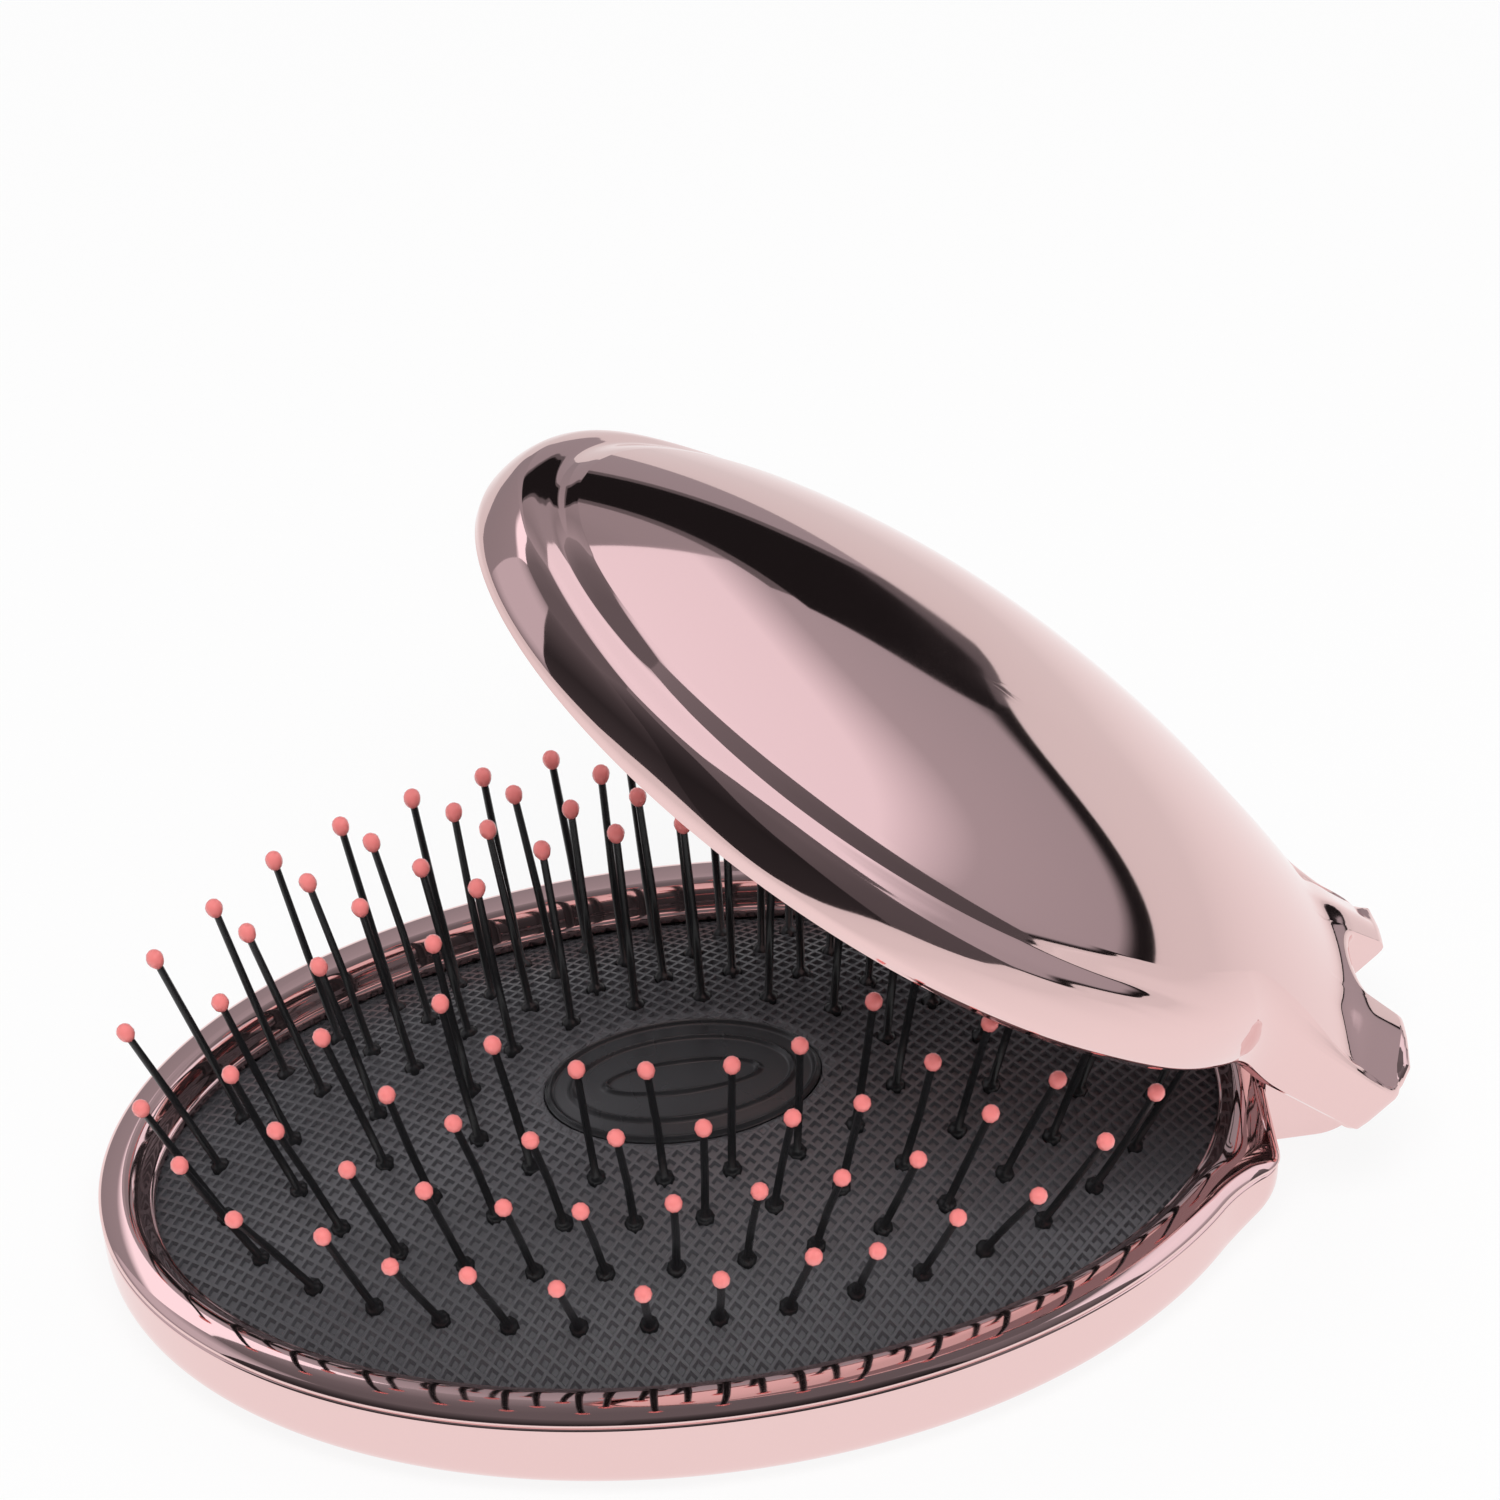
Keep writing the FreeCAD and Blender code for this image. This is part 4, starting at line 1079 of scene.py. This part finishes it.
@dataclass
class Lamp:
    """Soft rectangular lamp of even brightness, which reflections don't see."""

    name: str
    centre: tuple
    width: float
    height: float
    radiance: float
    aim: tuple = (0.0, 0.0, 30.0)

    def build(self) -> None:
        """Build the lamp: its power is pi times its area times its brightness."""
        data = bpy.data.lights.new(self.name, "AREA")
        data.shape = "RECTANGLE"
        data.size = self.width * MILLIMETRE
        data.size_y = self.height * MILLIMETRE
        data.energy = math.pi * data.size * data.size_y * self.radiance
        lamp = add_object(self.name, data)
        lamp.location = Vector(self.centre) * MILLIMETRE
        lamp.rotation_euler = (Vector(self.aim) - Vector(self.centre)).to_track_quat("-Z", "Y").to_euler()
        lamp.visible_camera = False
        lamp.visible_glossy = False


LAMPS = (Lamp("overhead_lamp", (0.0, -250.0, 580.0), 260.0, 200.0, 11.0),
         Lamp("right_strip", (470.0, -210.0, 110.0), 70.0, 330.0, 2.6),
         Lamp("left_strip", (-420.0, 380.0, 180.0), 60.0, 330.0, 1.6))


def shown_rays(tree: NodeTree) -> Node:
    """Mask that is 1 for camera, glossy and transmission rays.

    Args:
        tree: The tree that uses it.

    Returns:
        The node whose first output is the mask.
    """
    path = add_node(tree, "LightPath")
    seen = add_node(tree, "Math", operation="MAXIMUM")
    shown = add_node(tree, "Math", operation="MAXIMUM")
    join(tree, (path, "Is Camera Ray", seen, 0), (path, "Is Glossy Ray", seen, 1),
         (seen, 0, shown, 0), (path, "Is Transmission Ray", shown, 1))
    return shown


@dataclass
class Studio:
    """Pale floor, soft lamps, screens and the camera."""

    target: tuple = (10.85, 43.18, 9.0)
    azimuth: float = -4.90
    elevation: float = 44.89
    distance: float = 698.5
    roll: float = -3.70
    sensor: float = 36.0
    lens: float = 36.0 * 8213.2 / 1500.0

    def camera(self) -> None:
        """Place the camera by its azimuth, elevation, distance and roll about its own line of sight."""
        az, el, roll = (math.radians(v) for v in (self.azimuth, self.elevation, self.roll))
        back = Vector((math.sin(az) * math.cos(el), -math.cos(az) * math.cos(el), math.sin(el)))
        right = Vector((math.cos(az), math.sin(az), 0.0))
        upward = back.cross(right)
        level = right * math.cos(roll) + upward * math.sin(roll)
        raised = upward * math.cos(roll) - right * math.sin(roll)
        data = bpy.data.cameras.new("photo_camera")
        data.sensor_width = self.sensor
        data.lens = self.lens
        data.clip_start = 0.01
        data.clip_end = 20.0
        camera = add_object("photo_camera", data)
        turn = Matrix((level, raised, back)).transposed().to_4x4()
        place = (Vector(self.target) + back * self.distance) * MILLIMETRE
        camera.matrix_world = Matrix.Translation(place) @ turn
        bpy.context.scene.camera = camera

    def world(self) -> None:
        """White surroundings where they are seen or mirrored, and a plain grey level elsewhere."""
        world = bpy.data.worlds.new("studio")
        bpy.context.scene.world = world
        world.use_nodes = True
        tree = world.node_tree
        backdrop = tree.nodes["Background"]
        set_inputs(backdrop, {"Color": (1.0, 1.0, 1.0, 1.0)})
        level = add_node(tree, "MapRange", {"To Min": 0.62, "To Max": 1.0})
        join(tree, (shown_rays(tree), 0, level, "Value"), (level, "Result", backdrop, "Strength"))

    def floor(self) -> None:
        """Wide pale floor: mostly white where it is seen, with the shadow, and a painted falloff of light
        that makes it duller far off in mirrors.
        """
        corners = np.array(level_square(FLOOR_REACH, FLOOR_LEVEL))
        ground = mesh_from("floor", corners, [QUAD], closed=False)
        paint = bpy.data.materials.new("pale_floor")
        paint.use_nodes = True
        tree = paint.node_tree
        matte = tree.nodes["Principled BSDF"]
        set_inputs(matte, {"Base Color": (0.90, 0.90, 0.90, 1.0), "Roughness": 0.9,
                           "Specular IOR Level": 0.1})
        place = add_node(tree, "TexCoord")
        away = add_node(tree, "VectorMath", operation="LENGTH")
        # Painted falloff of light: mirrors see the floor's glow dim with distance from the middle of the set.
        painted_falloff = add_node(tree, "MapRange", {"From Min": 0.08, "From Max": 0.26, "To Max": 0.22})
        mirrored = add_node(tree, "Math", operation="MULTIPLY")
        bright = add_node(tree, "Math", {0: 1.0}, operation="SUBTRACT")
        glow = add_node(tree, "Emission")
        share = add_node(tree, "Math", {1: 0.87}, operation="MULTIPLY")
        mix = add_node(tree, "MixShader")
        join(tree, (place, "Object", away, 0), (away, "Value", painted_falloff, "Value"), (painted_falloff, "Result", mirrored, 0),
             (add_node(tree, "LightPath"), "Is Glossy Ray", mirrored, 1), (mirrored, 0, bright, 1),
             (bright, 0, glow, "Strength"), (shown_rays(tree), 0, share, 0), (share, 0, mix, "Fac"),
             (matte, 0, mix, 1), (glow, 0, mix, 2), (mix, 0, tree.nodes["Material Output"], "Surface"))
        ground.data.materials.append(paint)

    def build(self) -> None:
        """Build the set."""
        self.world()
        self.floor()
        self.camera()
        for item in (*LAMPS, *SCREENS):
            item.build()


ROWS = (BristleRow(1, (17.6, 9.7), 16, 4), BristleRow(2, (25.2, 13.4), 22, 6),
        BristleRow(3, (32.2, 17.1), 28, 8), BristleRow(4, (38.2, 21.0), 34, 8, keep=0.12))


def main() -> None:
    """Build every sub-assembly and the set."""
    bpy.context.scene.view_settings.view_transform = "Standard"
    pieces = (HeadTray(), RimFrame(), Cushion(), PressPad(), *ROWS, HandleShell(), InnerWorks())
    for assembly in (*pieces, Studio()):
        assembly.build()
        log.info("built %s", type(assembly).__name__)


if __name__ == "__main__":
    main()
